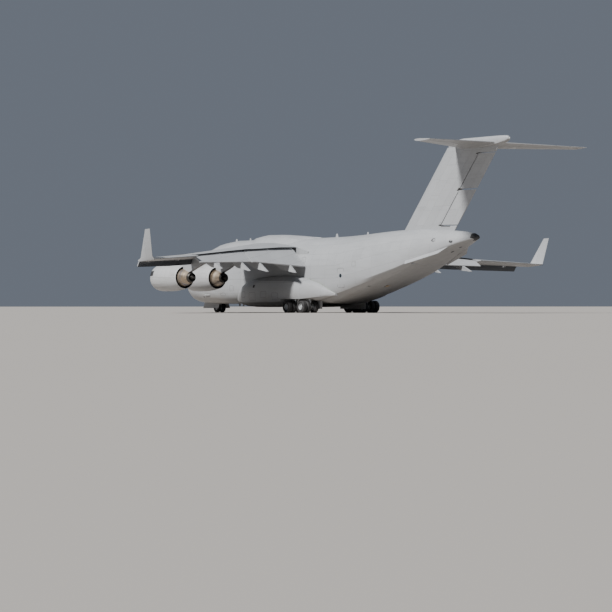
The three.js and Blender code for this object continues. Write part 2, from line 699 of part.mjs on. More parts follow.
// One flap hinge: the fixed fairing under the wing with its tongue and pin, and the flap's own arm.
function flapHinge(side, flap, { y, tail, lift }) {
  const row = wingRowAt(y);
  const size = row.chord / 8000;
  const along = hingeAxis(side, flap);
  const pin = wingPoint(side, y, FLAP_SHARE, flapDrop(y));
  const rise = pin.distanceTo(wingPoint(side, y, FLAP_SHARE, 0));
  const flapChord = (1 - FLAP_SHARE) * row.chord;
  const under = (share) => [
    (share - FLAP_SHARE) * row.chord,
    rise - halfThickness(row.thick, row.chord, share) + 90,
  ];
  const [noseAft, noseUp] = under(0.36);
  const [midAft, midUp] = under(0.52);
  const [backAft, backUp] = under(FLAP_SHARE - 0.03);
  const fairing = [
    [noseAft, noseUp], [midAft, midUp - 400 * size], [-250 * size, -100], [-150, -90], [-150, 130],
    [backAft, backUp - 60], [backAft, backUp],
  ];
  const tongue = [[-400 * size, -90], [40, -90], [90, 0], [40, 90], [-400 * size, 160]];
  const arm = [
    [-75, -70], [120, -150], [tail * 0.45, -90], [tail, tail * (lift - 0.007)], [tail, tail * (lift + 0.007)],
    [flapChord * 0.8, rise - 60], [flapChord * 0.16, rise - 20], [-75, 80],
  ];
  const tongueEnd = -SUPPORT.half + SUPPORT.tongue;
  const point = (d) => pin.clone().addScaledVector(along, d);
  const fixed = hingeSlab(pin, along, fairing, -SUPPORT.half, SUPPORT.half)
    .add(hingeSlab(pin, along, tongue, -SUPPORT.half, tongueEnd))
    .add(rod(point(-SUPPORT.half + 10), point(SUPPORT.arm), SUPPORT.pin, 10));
  const moving = hingeSlab(pin, along, arm, tongueEnd + RUNNING, SUPPORT.half - 30);
  const hole = bore(point(-SUPPORT.half), point(SUPPORT.arm + 2), SUPPORT.pin, 10);
  return { fixed, moving, hole };
}

function makeWing(side) {
  let wing = wingForm(side);
  const reach = 1500;
  const flaps = FLAPS.map((flap) => (
    { ...flap, solid: wing.intersect(wingSplit(side, flap.from, flap.to, FLAP_SHARE, reach)) }));
  wing = wing.subtract(wingSplit(side, FLAPS[0].from - 600, FLAPS[1].to + RUNNING, FLAP_SHARE, reach, 2 * RUNNING));
  const hinge = hingeLine(side, AILERON.from, AILERON.to, FLAP_SHARE, () => 0);
  const noseRadius = (y) => halfThickness(wingRowAt(y).thick, wingRowAt(y).chord, FLAP_SHARE) * 0.86;
  const whole = wing;
  const keep = wingSplit(side, AILERON.from, AILERON.to, FLAP_SHARE, reach);
  const cut = wingSplit(side, AILERON.from - RUNNING, AILERON.to + RUNNING, FLAP_SHARE, reach,
    noseRadius(AILERON.from) + RUNNING);
  const roundNose = rod(hinge[0], hinge[1], noseRadius(AILERON.from), 16, noseRadius(AILERON.to));
  const ends = wingSplit(side, AILERON.from, AILERON.to, FLAP_SHARE, reach, 600);
  let aileron = whole.intersect(keep).add(roundNose.intersect(ends));
  wing = wing.subtract(cut);
  [wing, aileron] = pinned(wing, aileron, hinge[0], hinge[1], 22, 90, 130);
  flaps.forEach((flap) => {
    flap.supports.forEach((support) => {
      const { fixed, moving, hole } = flapHinge(side, flap, support);
      wing = wing.add(fixed);
      flap.solid = flap.solid.add(moving).subtract(hole);
    });
  });
  return { wing, flaps, aileron, aileronHinge: hinge };
}

// The unit vector out along a flap's hinge line.
function hingeAxis(side, flap) {
  const [from, to] = flap.supports.map(({ y }) => wingPoint(side, y, FLAP_SHARE, flapDrop(y)));
  return new THREE.Vector3().subVectors(to, from).normalize();
}

// The winglet: a swept blade canted out from the wing tip.
function winglet(side) {
  const tip = WING[WING.length - 1];
  const rows = [
    { out: -60, up: -60, s: tip.s + 60, chord: 2740, thick: 0.09 },
    { out: 130, up: 320, s: tip.s + 700, chord: 2010, thick: 0.09 },
    { out: 650, up: 2950, s: tip.s + 2230, chord: 800, thick: 0.08 },
  ];
  return loft(rows.map((row) => aerofoil(row.thick, 0).map(([u, v]) => at(
    row.s + u * row.chord,
    side * (tip.y + row.out + v * row.chord),
    tip.z + row.up - 0.24 * v * row.chord + tip.slope * u * row.chord,
  ))));
}

const SLAT_ROWS = [
  { y: 3700, ahead: 960, drop: 1080 },
  { y: 24500, ahead: 760, drop: 620 },
];
const SLAT_TRACKS = [5600, 11600, 17600, 23200];

// The slat's section about the wing's leading edge, as shares of how far it is ahead of it and below it.
const SLAT_SECTION = [
  [0.15, 0.4], [-0.35, 0.18], [-0.8, -0.3], [-1, -0.78], [-0.95, -1], [-0.84, -0.8], [-0.64, -0.36], [-0.28, 0.06],
];

// A thin curved strip moved forward and down from the wing's nose, with the tracks that carry it.
function makeSlats(side) {
  const section = (y) => {
    const wing = wingRowAt(y);
    const slat = rowAt(SLAT_ROWS, "y", y);
    return SLAT_SECTION.map(([aft, up]) => at(wing.s + aft * slat.ahead, side * y, wing.z + up * slat.drop));
  };
  const stations = [SLAT_ROWS[0].y, ...WING.slice(2, -1).map((row) => row.y), SLAT_ROWS[1].y];
  let slats = largest(loft(stations.map(section)).subtract(wingForm(side, GAP + 20)));
  SLAT_TRACKS.forEach((y) => {
    const wing = wingRowAt(y);
    const slat = rowAt(SLAT_ROWS, "y", y);
    const track = block(wing.s - 0.58 * slat.ahead, wing.s + 0.05 * wing.chord, side * (y - 45), side * (y + 45),
      wing.z - 0.38 * slat.drop, wing.z - 0.12 * slat.drop);
    slats = slats.add(track.subtract(wingForm(side, GAP)));
  });
  ENGINES.filter((engine) => Math.sign(engine.y) === side).forEach(({ y }) => {
    const wing = wingRowAt(Math.abs(y));
    const low = wing.z - 0.022 * wing.chord;
    const half = PYLON_HALF + RUNNING;
    slats = slats.subtract(block(wing.s - 1500, wing.s + 900, y - half, y + half, low - 2000, low));
  });
  return largest(slats);
}

// Engines

const COWL_SIDES = 20;
const CORE_SIDES = 12;
const NACELLE = { outer: 1390, fan: 1080, length: 4550 };
const VANES = 4;
const FAN_FACE = 1150; // behind the intake lip
const CORE_FRONT = 1500;
const NOZZLE_END = 5900;
const CORE_END = 6350;

function cowlProfile(lip) {
  return [
    [lip, 1190], [lip + 100, 1280], [lip + 700, 1375], [lip + 2300, NACELLE.outer],
    [lip + NACELLE.length, 1130], [lip + NACELLE.length, 1105], [lip + 3300, 1190], [lip + 1500, NACELLE.fan],
    [lip + 600, NACELLE.fan],
  ];
}

function coreProfile(lip) {
  return [
    [lip + CORE_FRONT, 0], [lip + CORE_FRONT, 560], [lip + 3300, 880], [lip + 4100, 930],
    [lip + NACELLE.length, 890], [lip + 5350, 640], [lip + NOZZLE_END, 450], [lip + NOZZLE_END, 400],
    [lip + NOZZLE_END - 200, 270], [lip + CORE_END, 0],
  ];
}

function makeEngine({ y, lip, z }) {
  const nacelle = turned(cowlProfile(lip), y, z, COWL_SIDES, true);
  let core = turned(coreProfile(lip), y, z, CORE_SIDES, false);
  const inside = turned([[lip + 1400, 0], [lip + 1400, NACELLE.fan - GAP], [lip + 1500, NACELLE.fan - GAP],
    [lip + 3300, 1190 - GAP], [lip + 3300, 0]], y, z, COWL_SIDES, false);
  for (let i = 0; i < VANES; i += 1) {
    const vane = solidOf(new THREE.BoxGeometry(260, 50, 1300).translate(0, 0, 650)
      .rotateX((2 * Math.PI * (i + 0.5)) / VANES).translate(NOSE_X - lip - 1950, y, z));
    core = core.add(vane.intersect(inside));
  }
  return { nacelle, core };
}

const FAN_BLADES = 10;

function makeFan({ lip }) {
  let fan = turned([[lip + 620, 0], [lip + 700, 110], [lip + 900, 270], [lip + FAN_FACE, 380],
    [lip + CORE_FRONT - GAP, 420], [lip + CORE_FRONT - GAP, 0]], 0, 0, FAN_BLADES, false);
  for (let i = 0; i < FAN_BLADES; i += 1) {
    const blade = new THREE.BoxGeometry(250, 26, NACELLE.fan - RUNNING - 300);
    blade.translate(0, 0, (NACELLE.fan - RUNNING + 300) / 2);
    const ends = blade.attributes.position;
    for (let k = 0; k < ends.count; k += 1) {
      const share = (ends.getZ(k) - 300) / (NACELLE.fan - 300);
      const turn = between(0.55, 1.05, share);
      const [x, v] = [ends.getX(k), ends.getY(k)];
      ends.setX(k, x * Math.cos(turn) - v * Math.sin(turn));
      ends.setY(k, x * Math.sin(turn) + v * Math.cos(turn));
    }
    blade.rotateX((2 * Math.PI * i) / FAN_BLADES).translate(NOSE_X - lip - FAN_FACE - 130, 0, 0);
    fan = fan.add(solidOf(blade));
  }
  return fan;
}

// The pylon: an upright blade from the cowl and the core up to the wing's underside and nose.
function makePylon(engine) {
  const { y, lip, z } = engine;
  const side = Math.sign(y);
  const row = wingRowAt(Math.abs(y));
  const outline = [
    [lip + 1250, z + NACELLE.outer - 200],
    [lip + 1250, z + NACELLE.outer + 40],
    [lip + 2400, z + NACELLE.outer + 330],
    [row.s - 700, row.z - 0.06 * row.chord],
    [row.s + 0.02 * row.chord, row.z - 0.03 * row.chord],
    [row.s + 0.3 * row.chord, row.z],
    [row.s + 0.46 * row.chord, row.z - 380],
    [lip + NOZZLE_END + 750, z + 900],
    [lip + NOZZLE_END - 250, z + 560],
    [lip + 4700, z + 500],
    [lip + 3600, z + 500],
  ];
  const pylon = profileSlab(outline, y - PYLON_HALF, y + PYLON_HALF).subtract(grownEngine(engine))
    .subtract(wingForm(side, GAP));
  return largest(pylon);
}

// The engine's outer forms grown by the gap, to cut the pylon with.
function grownEngine({ y, lip, z }) {
  const step = GAP * 1.6;
  const end = lip + NACELLE.length;
  const cowl = cowlProfile(lip).slice(0, 5).map(([s, r]) => [s, r + step]);
  const nacelle = [[lip - step, 0], [lip - step, 1190 + step], ...cowl.slice(1), [end + step, 1130 + step],
    [end + step, 0]];
  const core = coreProfile(lip).map(([s, r]) => [s, r === 0 ? 0 : r + step]);
  return turned(nacelle, y, z, COWL_SIDES, false).add(turned(core, y, z, CORE_SIDES, false));
}

// Tail

function uprightRing(row, grow = 0) {
  return aerofoil(row.thick, 0).map(([u, v]) => at(row.s + u * row.chord, v * row.chord, row.z + grow));
}

function finSplit(from, to, share, ahead = 0) {
  const corners = (z) => {
    const row = rowAt(FIN, "z", z);
    const start = row.s + share * row.chord - ahead;
    return [[start, -900], [row.s + row.chord + 900, -900], [row.s + row.chord + 900, 900], [start, 900]]
      .map(([s, y]) => at(s, y, z));
  };
  return loft([from, to].map(corners));
}

function tailRing(row, side, grow = 0) {
  return aerofoil(row.thick, -0.008).map(([u, v]) => at(
    row.s + u * row.chord - (u < 0.02 ? grow : 0), side * row.y, row.z + v * row.chord + Math.sign(v) * grow));
}

function tailSplit(side, from, to, share, ahead = 0) {
  const corners = (y) => {
    const row = rowAt(TAILPLANE, "y", y);
    const start = row.s + share * row.chord - ahead;
    return [[start, -900], [row.s + row.chord + 900, -900], [row.s + row.chord + 900, 900], [start, 900]]
      .map(([s, z]) => at(s, side * y, row.z + z));
  };
  return loft([from, to].map(corners));
}

// The bullet fairing where the fin meets the tailplane, with flat sides and rounded corners.
const BULLET_SQUARE = 3.4;
const BULLET = [
  { s: 44300, half: 80, low: 15980, high: 16300 },
  { s: 45000, half: 340, low: 15760, high: 16620 },
  { s: 46600, half: 480, low: 15680, high: 16790 },
  { s: 49200, half: 520, low: 15760, high: 16790 },
  { s: 51600, half: 470, low: 15920, high: 16790 },
  { s: 52600, half: 300, low: 16180, high: 16760 },
  { s: 52900, half: 120, low: 16420, high: 16640 },
];

const bulletLoft = (grow = 0) => loft(BULLET.map((row) => {
  const ring = [];
  for (let i = 0; i < 16; i += 1) {
    const turn = (2 * Math.PI * (i + 0.5)) / 16;
    const mid = (row.low + row.high) / 2;
    const rise = (row.high - row.low) / 2 + grow;
    const [out, up] = [Math.cos(turn), Math.sin(turn)]
      .map((v) => Math.sign(v) * Math.abs(v) ** (2 / BULLET_SQUARE));
    ring.push(at(row.s, (row.half + grow) * out, mid + rise * up));
  }
  return ring;
}));

function makeTail() {
  let fin = loft([{ ...FIN[0] }, { ...FIN[1] }].map((row) => uprightRing(row)));
  const rudders = RUDDERS.map((rudder) => {
    const line = [rudder.from, rudder.to].map((z) => {
      const row = rowAt(FIN, "z", z);
      return at(row.s + RUDDER_SHARE * row.chord, 0, z);
    });
    const low = rowAt(FIN, "z", rudder.from);
    const radius = halfThickness(low.thick, low.chord, RUDDER_SHARE) * 0.84;
    const nose = rod(line[0].clone().addScaledVector(line[1].clone().sub(line[0]), -0.1),
      line[1].clone().addScaledVector(line[1].clone().sub(line[0]), 0.1), radius, 16);
    const slice = block(0, LENGTH + 3000, -900, 900, rudder.from, rudder.to);
    let moving = fin.intersect(finSplit(rudder.from, rudder.to, RUDDER_SHARE)).add(nose.intersect(slice));
    return { ...rudder, line, radius, moving };
  });
  rudders.forEach((rudder) => {
    fin = fin.subtract(finSplit(rudder.from - RUDDER_END_GAP, rudder.to + RUDDER_END_GAP, RUDDER_SHARE,
      rudder.radius * 1.3 + RUNNING));
  });
  rudders.forEach((rudder) => {
    [fin, rudder.moving] = pinned(fin, rudder.moving, rudder.line[0], rudder.line[1], 30, 90, 230);
  });
  let tailplane = bulletLoft();
  [1, -1].forEach((side) => {
    tailplane = tailplane.add(loft(TAILPLANE.map((row) => tailRing(row, side))));
  });
  const elevators = [1, -1].map((side) => {
    const line = [ELEVATOR.from, ELEVATOR.to].map((y) => {
      const row = rowAt(TAILPLANE, "y", y);
      const sag = -0.008 * 4 * ELEVATOR_SHARE * (1 - ELEVATOR_SHARE) * row.chord;
      return at(row.s + ELEVATOR_SHARE * row.chord, side * y, row.z + sag);
    });
    const radii = [ELEVATOR.from, ELEVATOR.to].map((y) => {
      const row = rowAt(TAILPLANE, "y", y);
      return halfThickness(row.thick, row.chord, ELEVATOR_SHARE) * 0.84;
    });
    const nose = rod(line[0], line[1], radii[0], 16, radii[1]);
    const surface = loft(TAILPLANE.map((row) => tailRing(row, side)));
    let moving = surface.intersect(tailSplit(side, ELEVATOR.from, ELEVATOR.to, ELEVATOR_SHARE))
      .add(nose.intersect(tailSplit(side, ELEVATOR.from, ELEVATOR.to, ELEVATOR_SHARE, 500)));
    tailplane = tailplane.subtract(
      tailSplit(side, ELEVATOR.from - RUNNING, ELEVATOR.to + RUNNING, ELEVATOR_SHARE, radii[0] + RUNNING));
    [tailplane, moving] = pinned(tailplane, moving, line[0], line[1], 24, 90, 130);
    return { side, line, moving: largest(moving) };
  });
  fin = fin.subtract(hull(36000, 48500, GAP)).subtract(bulletLoft(GAP));
  [1, -1].forEach((side) => {
    fin = fin.subtract(loft(TAILPLANE.map((row) => tailRing(row, side, GAP))));
  });
  return { fin: largest(fin), rudders, tailplane: largest(tailplane), elevators };
}

// Landing gear

// Side pod sections: station, outer edge, lowest and highest levels.
const POD = [
  { s: 13600, out: 3300, low: 1300, high: 1700 },
  { s: 14600, out: 3900, low: 920, high: 2500 },
  { s: 16000, out: 4500, low: 700, high: 3150 },
  { s: 17800, out: 4950, low: 580, high: 3600 },
  { s: 20000, out: 5150, low: 560, high: 3780 },
  { s: 22600, out: 5150, low: 600, high: 3780 },
  { s: 24800, out: 5080, low: 760, high: 3700 },
  { s: 26600, out: 4800, low: 1040, high: 3500 },
  { s: 28300, out: 4280, low: 1330, high: 3050 },
  { s: 29600, out: 3740, low: 1580, high: 2450 },
  { s: 30500, out: 3300, low: 1760, high: 1960 },
];
const POD_MIDDLE = 3250;
const POD_INWARD = 850; // how far the slim ends reach in from the middle, into the fuselage side

function podLoft(side, grow = 0) {
  return loft(POD.map((row) => {
    const ring = [];
    const mid = (row.low + row.high) / 2;
    for (let i = 0; i < 16; i += 1) {
      const turn = (2 * Math.PI * (i + 0.5)) / 16;
      const c = Math.cos(turn);
      const v = Math.sin(turn);
      const power = 2 / 3;
      const outward = row.out - POD_MIDDLE;
      const reach = (c > 0 ? outward : Math.max(outward, POD_INWARD)) + grow;
      const across = Math.sign(c) * Math.abs(c) ** power * reach;
      const level = Math.sign(v) * Math.abs(v) ** power * ((row.high - row.low) / 2 + grow);
      ring.push(at(row.s, side * (POD_MIDDLE + across), mid + level));
    }
    return ring;
  }));
}

const WELL = { from: 23500, to: 27820, inner: 2800, outer: 5300, low: 1420, top: 1900 };

const mainAxleZ = MAIN_TYRE.radius * Math.cos(Math.PI / TYRE_SIDES);
const noseAxleZ = NOSE_TYRE.radius * Math.cos(Math.PI / TYRE_SIDES);

function makePod(side) {
  const wheels = block(WELL.from, WELL.to, side * WELL.inner, side * WELL.outer, 0, WELL.low);
  const legs = block(WELL.from, WELL.to, side * (MAIN_POST_Y - 300), side * (MAIN_POST_Y + 300), 0, WELL.top);
  const ramp = block(RAMP.hinge.s - 1000, RAMP.end, -RAMP.half - 3 * RUNNING, RAMP.half + 3 * RUNNING, 0, 3000);
  const pod = podLoft(side).subtract(hull(9000, 33000, GAP)).subtract(ramp);
  return largest(pod.subtract(wheels).subtract(legs));
}

// A tyre and its wheel as one ring of revolution about a line across the aircraft.
function wheelSolid(size, s, y, z) {
  const half = size.width / 2;
  const profile = [
    [0, -half * 0.6], [size.rim, -half * 0.6], [size.rim * 1.15, -half], [size.radius, -half * 0.7],
    [size.radius, half * 0.7], [size.rim * 1.15, half], [size.rim, half * 0.6], [0, half * 0.6],
  ].map(([r, w]) => new THREE.Vector2(r, w));
  const made = new THREE.LatheGeometry(profile, TYRE_SIDES);
  made.rotateY(Math.PI / TYRE_SIDES);
  const centre = at(s, y, z);
  made.translate(centre.x, centre.y, centre.z);
  return latheSolid(made);
}

function axleSet(size, s, ys, z) {
  const from = Math.min(...ys);
  const to = Math.max(...ys);
  const axle = rod(at(s, from, z), at(s, to, z), AXLE_RADIUS, AXLE_SIDES);
  return ys.reduce((set, y) => set.add(wheelSolid(size, s, y, z)), axle);
}

const axleHole = (s, y0, y1, z) => bore(at(s, y0, z), at(s, y1, z), AXLE_RADIUS, AXLE_SIDES);

// Both legs of one side, hung from a beam at the top of the wheel well.
function makeMainGear(side) {
  const y = side * MAIN_POST_Y;
  const top = WELL.top - GAP;
  let gear = block(MAIN_AXLES[0].s - 300, MAIN_AXLES[1].s + 300, y - 130, y + 130, top - 170, top);
  MAIN_AXLES.forEach(({ s }) => {
    const lean = s === MAIN_AXLES[0].s ? 1 : -1;
    gear = gear.add(rod(at(s, y, top - 40), at(s, y, mainAxleZ), 125, 12));
    gear = gear.add(rod(at(s + lean * 780, y, top - 110), at(s + lean * 130, y, mainAxleZ + 190), 60, 8));
    gear = gear.add(rod(at(s, y - 150, mainAxleZ), at(s, y + 150, mainAxleZ), 165, 16));
    gear = gear.subtract(axleHole(s, y - 400, y + 400, mainAxleZ));
  });
  return largest(gear);
}

// The inner door of a wheel well, hanging open from the well's inner edge.
function makeMainDoor(side) {
  const edge = WELL.inner + GAP;
  return block(WELL.from + 60, WELL.to - 60, side * edge, side * (edge + 45), 400, 1200);
}

function makeNoseGear() {
  const s = NOSE_AXLE_S;
  const top = NOSE_BAY.top - GAP;
  const collarLow = noseAxleZ + 760;
  let post = rod(at(s, 0, collarLow), at(s, 0, top), 150, 16);
  post = post.add(rod(at(s - 1500, 0, top - 60), at(s - 90, 0, collarLow + 240), 65, 8));
  post = post.add(block(s - 1640, s + 260, -220, 220, top - 120, top));
  let fork = rod(at(s, 0, noseAxleZ), at(s, 0, collarLow - GAP), 110, 16);
  fork = fork.add(rod(at(s, -120, noseAxleZ), at(s, 120, noseAxleZ), 165, 16));
  fork = fork.subtract(axleHole(s, -300, 300, noseAxleZ));
  return { post, fork };
}

function makeNoseDoor(side) {
  const edge = NOSE_BAY.half - GAP;
  const outline = [
    [edge - 36, 1120], [edge, 1120], [edge, 930], [edge + 160, 480], [edge + 124, 468], [edge - 36, 925],
  ];
  const rings = [NOSE_BAY.from + 60, NOSE_BAY.to - 60].map((s) => outline.map(([y, z]) => at(s, side * y, z)));
  return capped(rings);
}

// Assembly

const nose = hull(0, RADOME_END);
add("radome", nose, materials.radome);
const forward = makeForward();
add("fuselage_forward", forward.body, materials.grey);
hinged("crew_door", forward.panel, materials.grey, forward.hinge, new THREE.Vector3(-1, 0, 0));
add("windscreen", makeGlass(), materials.glass);
add("flight_deck", makeFlightDeck(), materials.interior);
add("fuselage_centre", makeCentre(), materials.grey);
add("cargo_floor", makeFloor(), materials.floor);
const aft = makeAft();
add("fuselage_aft", aft.body, materials.grey);
hinged("cargo_ramp", aft.ramp, materials.grey, at(RAMP.hinge.s, 0, RAMP.hinge.z), new THREE.Vector3(0, -1, 0));
hinged("aft_cargo_door", aft.door, materials.grey, at(DOOR_HINGE.s, 0, DOOR_HINGE.z), new THREE.Vector3(0, -1, 0));
add("wing_fairing", makeHump(), materials.grey);

[1, -1].forEach((side) => {
  const name = side > 0 ? "left" : "right";
  const made = makeWing(side);
  add("wing_" + name, largest(made.wing.add(winglet(side))), materials.grey);
  made.flaps.forEach((flap) => {
    const axis = hingeAxis(side, flap).multiplyScalar(-side);
    const { y } = flap.supports[0];
    const origin = wingPoint(side, y, FLAP_SHARE, flapDrop(y));
    hinged("flap_" + name + "_" + flap.key, largest(flap.solid), materials.grey, origin, axis, FLAP_REST_DEG);
  });
  const [from, to] = made.aileronHinge;
  const axis = new THREE.Vector3().subVectors(to, from).multiplyScalar(-side);
  hinged("aileron_" + name, largest(made.aileron), materials.grey, from, axis);
  add("slats_" + name, makeSlats(side), materials.grey);
  add("wheel_pod_" + name, makePod(side), materials.grey);
  add("main_gear_" + name, makeMainGear(side), materials.gear);
  add("main_gear_door_" + name, makeMainDoor(side), materials.grey);
  add("nose_gear_door_" + name, makeNoseDoor(side), materials.grey);
  MAIN_AXLES.forEach(({ key, s }) => {
    const set = axleSet(MAIN_TYRE, s, MAIN_WHEELS.map((y) => side * y), mainAxleZ);
    hinged("main_wheels_" + name + "_" + key, set, materials.tyre, at(s, side * MAIN_POST_Y, mainAxleZ),
      new THREE.Vector3(0, 1, 0));
  });
});

const tail = makeTail();
add("fin", tail.fin, materials.grey);
add("tailplane", tail.tailplane, materials.grey);
tail.rudders.forEach((rudder) => {
  const axis = new THREE.Vector3().subVectors(rudder.line[1], rudder.line[0]);
  hinged("rudder_" + rudder.key, largest(rudder.moving), materials.grey, rudder.line[0], axis);
});
tail.elevators.forEach(({ side, line, moving }) => {
  const axis = new THREE.Vector3().subVectors(line[1], line[0]).multiplyScalar(-side);
  hinged("elevator_" + (side > 0 ? "left" : "right"), moving, materials.grey, line[0], axis);
});

ENGINES.forEach((engine) => {
  const made = makeEngine(engine);
  add("nacelle_" + engine.key, made.nacelle, materials.cowl);
  add("engine_" + engine.key, made.core, materials.hot_metal);
  add("pylon_" + engine.key, makePylon(engine), materials.grey);
  const pivot = new THREE.Group();
  pivot.name = "pivot_fan_" + engine.key;
  pivot.position.set(0, engine.y, engine.z);
  pivot.rotation.y = Math.PI / 2;
  const fan = add("fan_" + engine.key, makeFan(engine), materials.fan, pivot);
  fan.rotation.y = -Math.PI / 2;
  root.add(pivot);
});

const noseGear = makeNoseGear();
add("nose_gear_post", noseGear.post, materials.gear);
hinged("nose_gear_fork", noseGear.fork, materials.gear, at(NOSE_AXLE_S, 0, noseAxleZ),
  new THREE.Vector3(0, 0, 1));
hinged("nose_wheels", axleSet(NOSE_TYRE, NOSE_AXLE_S, [-NOSE_WHEEL_Y, NOSE_WHEEL_Y], noseAxleZ), materials.tyre,
  at(NOSE_AXLE_S, 0, noseAxleZ), new THREE.Vector3(0, 1, 0));

export default root;
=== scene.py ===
"""The looks of a four-engined military transport plane that stands on its gear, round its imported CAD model.

Places are given as the CAD gives them, in full-size metres: s aft of the nose, y out to the left, z up.
at() turns such a place into a point of the 1:2 model, and K turns a full-size length into a model length.
The radii of rods and the thicknesses of plates are in model metres.
"""

from functools import partial
from math import cos, hypot, pi, radians, sin

import bmesh
import bpy
from mathutils import Matrix, Vector
from mathutils.bvhtree import BVHTree


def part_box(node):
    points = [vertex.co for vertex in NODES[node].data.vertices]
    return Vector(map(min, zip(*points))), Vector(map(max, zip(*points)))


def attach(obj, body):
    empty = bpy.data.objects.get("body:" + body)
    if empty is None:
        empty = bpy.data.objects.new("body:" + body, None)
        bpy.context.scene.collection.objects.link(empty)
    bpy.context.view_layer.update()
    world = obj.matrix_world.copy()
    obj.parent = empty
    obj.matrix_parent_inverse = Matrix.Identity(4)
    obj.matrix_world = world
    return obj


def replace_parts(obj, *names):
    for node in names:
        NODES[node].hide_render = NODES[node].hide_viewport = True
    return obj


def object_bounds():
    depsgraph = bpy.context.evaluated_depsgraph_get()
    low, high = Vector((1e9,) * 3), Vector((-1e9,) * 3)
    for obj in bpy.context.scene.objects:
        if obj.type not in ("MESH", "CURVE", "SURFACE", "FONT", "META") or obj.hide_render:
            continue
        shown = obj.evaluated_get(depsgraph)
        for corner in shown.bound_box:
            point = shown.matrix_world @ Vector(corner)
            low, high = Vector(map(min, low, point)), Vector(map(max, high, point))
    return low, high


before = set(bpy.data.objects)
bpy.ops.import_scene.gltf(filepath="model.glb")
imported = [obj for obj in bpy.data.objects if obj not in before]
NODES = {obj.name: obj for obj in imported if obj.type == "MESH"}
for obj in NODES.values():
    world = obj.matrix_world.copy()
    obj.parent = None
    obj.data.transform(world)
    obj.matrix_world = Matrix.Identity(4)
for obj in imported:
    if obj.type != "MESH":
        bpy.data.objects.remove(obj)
cad_low, cad_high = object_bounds()

K = 0.5  # model scale
LENGTH = 53.04
AHEAD, LEFT, UP = Vector((1, 0, 0)), Vector((0, 1, 0)), Vector((0, 0, 1))
SIDES = {"left": 1, "right": -1}

# The camera stands as the photograph's did, but at floor level instead of below the plane.
CAMERA_PLACE = (-94.1, 73.4, 0.35)
CAMERA_HEADING_DEG = -37.2  # from the nose's direction, anticlockwise seen from above
CAMERA_LENS_MM = 136.3

MAIN_WHEELS = {"radius": 0.6254, "half": 0.25, "rim": 0.3, "out": (3.22, 4.16, 4.74), "axle_z": 0.6254}
NOSE_WHEELS = {"radius": 0.5003, "half": 0.195, "rim": 0.23, "out": (-0.33, 0.33), "axle_z": 0.5003}
MAIN_AXLES = {"front": 24.45, "rear": 26.87}
NOSE_AXLE_S = 5.6
MAIN_POST_Y = 3.7

ENGINES = {
    "left_outboard": {"y": 14.0, "lip": 14.8, "z": 3.6},
    "left_inboard": {"y": 8.1, "lip": 12.15, "z": 3.62},
    "right_inboard": {"y": -8.1, "lip": 12.15, "z": 3.62},
    "right_outboard": {"y": -14.0, "lip": 14.8, "z": 3.6},
}

SMOOTH_DEG = 35  # edges of the scene's own pieces that are steeper than this stay sharp
CAD_SMOOTH_DEG = 26  # the same for the CAD nodes


def at(s, y, z):
    """The model point of a full-size place."""
    return Vector((LENGTH / 2 - s, y, z)) * K


def turns(count, start=0.0):
    """Evenly spaced angles round a circle."""
    return [2 * pi * (i + start) / count for i in range(count)]


def spaced(start, end, steps):
    """Evenly spaced numbers from start to end, both included."""
    return [start + (end - start) * i / steps for i in range(steps + 1)]


def in_table(rows, key):
    """The row of a table at a key that lies between those of its first column, which rises."""
    i = max(k for k in range(len(rows) - 1) if rows[k][0] <= key)
    share = (key - rows[i][0]) / (rows[i + 1][0] - rows[i][0])
    return [a + (b - a) * share for a, b in zip(rows[i], rows[i + 1])]


# Shapes: each is a list of points and a list of faces


def loft(rings, ends=True):
    """Rings of equally many points joined into a tube, closed at its ends if asked."""
    count = len(rings[0])
    points = [p for ring in rings for p in ring]
    faces = []
    for start in range(0, len(points) - count, count):
        for i in range(count):
            a, b = start + i, start + (i + 1) % count
            faces.append((a, b, b + count, a + count))
    if ends:
        faces += [tuple(range(count)), tuple(range(len(points) - count, len(points)))]
    return points, faces


def circle(centre, across, up, radius, sides):
    """A ring of points about a centre, in the plane of two directions."""
    return [centre + (across * cos(t) + up * sin(t)) * radius for t in turns(sides)]


def lathe(profile, sides, closed=True):
    """A surface turned about the X axis, from pairs of a place along it and a radius."""
    rings = [circle(AHEAD * x, LEFT, UP, max(r, 1e-5), sides) for x, r in profile]
    if closed:
        rings.append(rings[0])
    return loft(rings, ends=False)


def tube(path, radius, sides=8):
    """A round bar along a path of points."""
    rings = []
    side = None
    for i, point in enumerate(path):
        run = (path[min(i + 1, len(path) - 1)] - path[max(i - 1, 0)]).normalized()
        if side is None:
            side = run.orthogonal().normalized()
        side = (side - run * side.dot(run)).normalized()
        rings.append(circle(point, side, run.cross(side), radius, sides))
    return loft(rings)


def box(low, high):
    """An upright box between two corners."""
    (x0, y0, z0), (x1, y1, z1) = low, high
    corners = ((y0, z0), (y1, z0), (y1, z1), (y0, z1))
    return loft([[Vector((x, y, z)) for y, z in corners] for x in (x0, x1)])


def slab(grid, depth):
    """A curved sheet of points with a thickness behind it."""
    rows, columns = len(grid), len(grid[0])
    points = [p for row in grid for p in row]
    back = rows * columns
    faces = []
    for r in range(rows - 1):
        for a in range(r * columns, (r + 1) * columns - 1):
            face = (a, a + 1, a + columns + 1, a + columns)
            faces += [face, tuple(i + back for i in reversed(face))]
    border = [*range(columns), *range(2 * columns - 1, back, columns)]
    border += [*range(back - 2, back - columns - 1, -1), *range(back - 2 * columns, 0, -columns)]
    for a, b in zip(border, border[1:] + border[:1]):
        faces.append((b, a, a + back, b + back))
    return points + [p + depth for p in points], faces


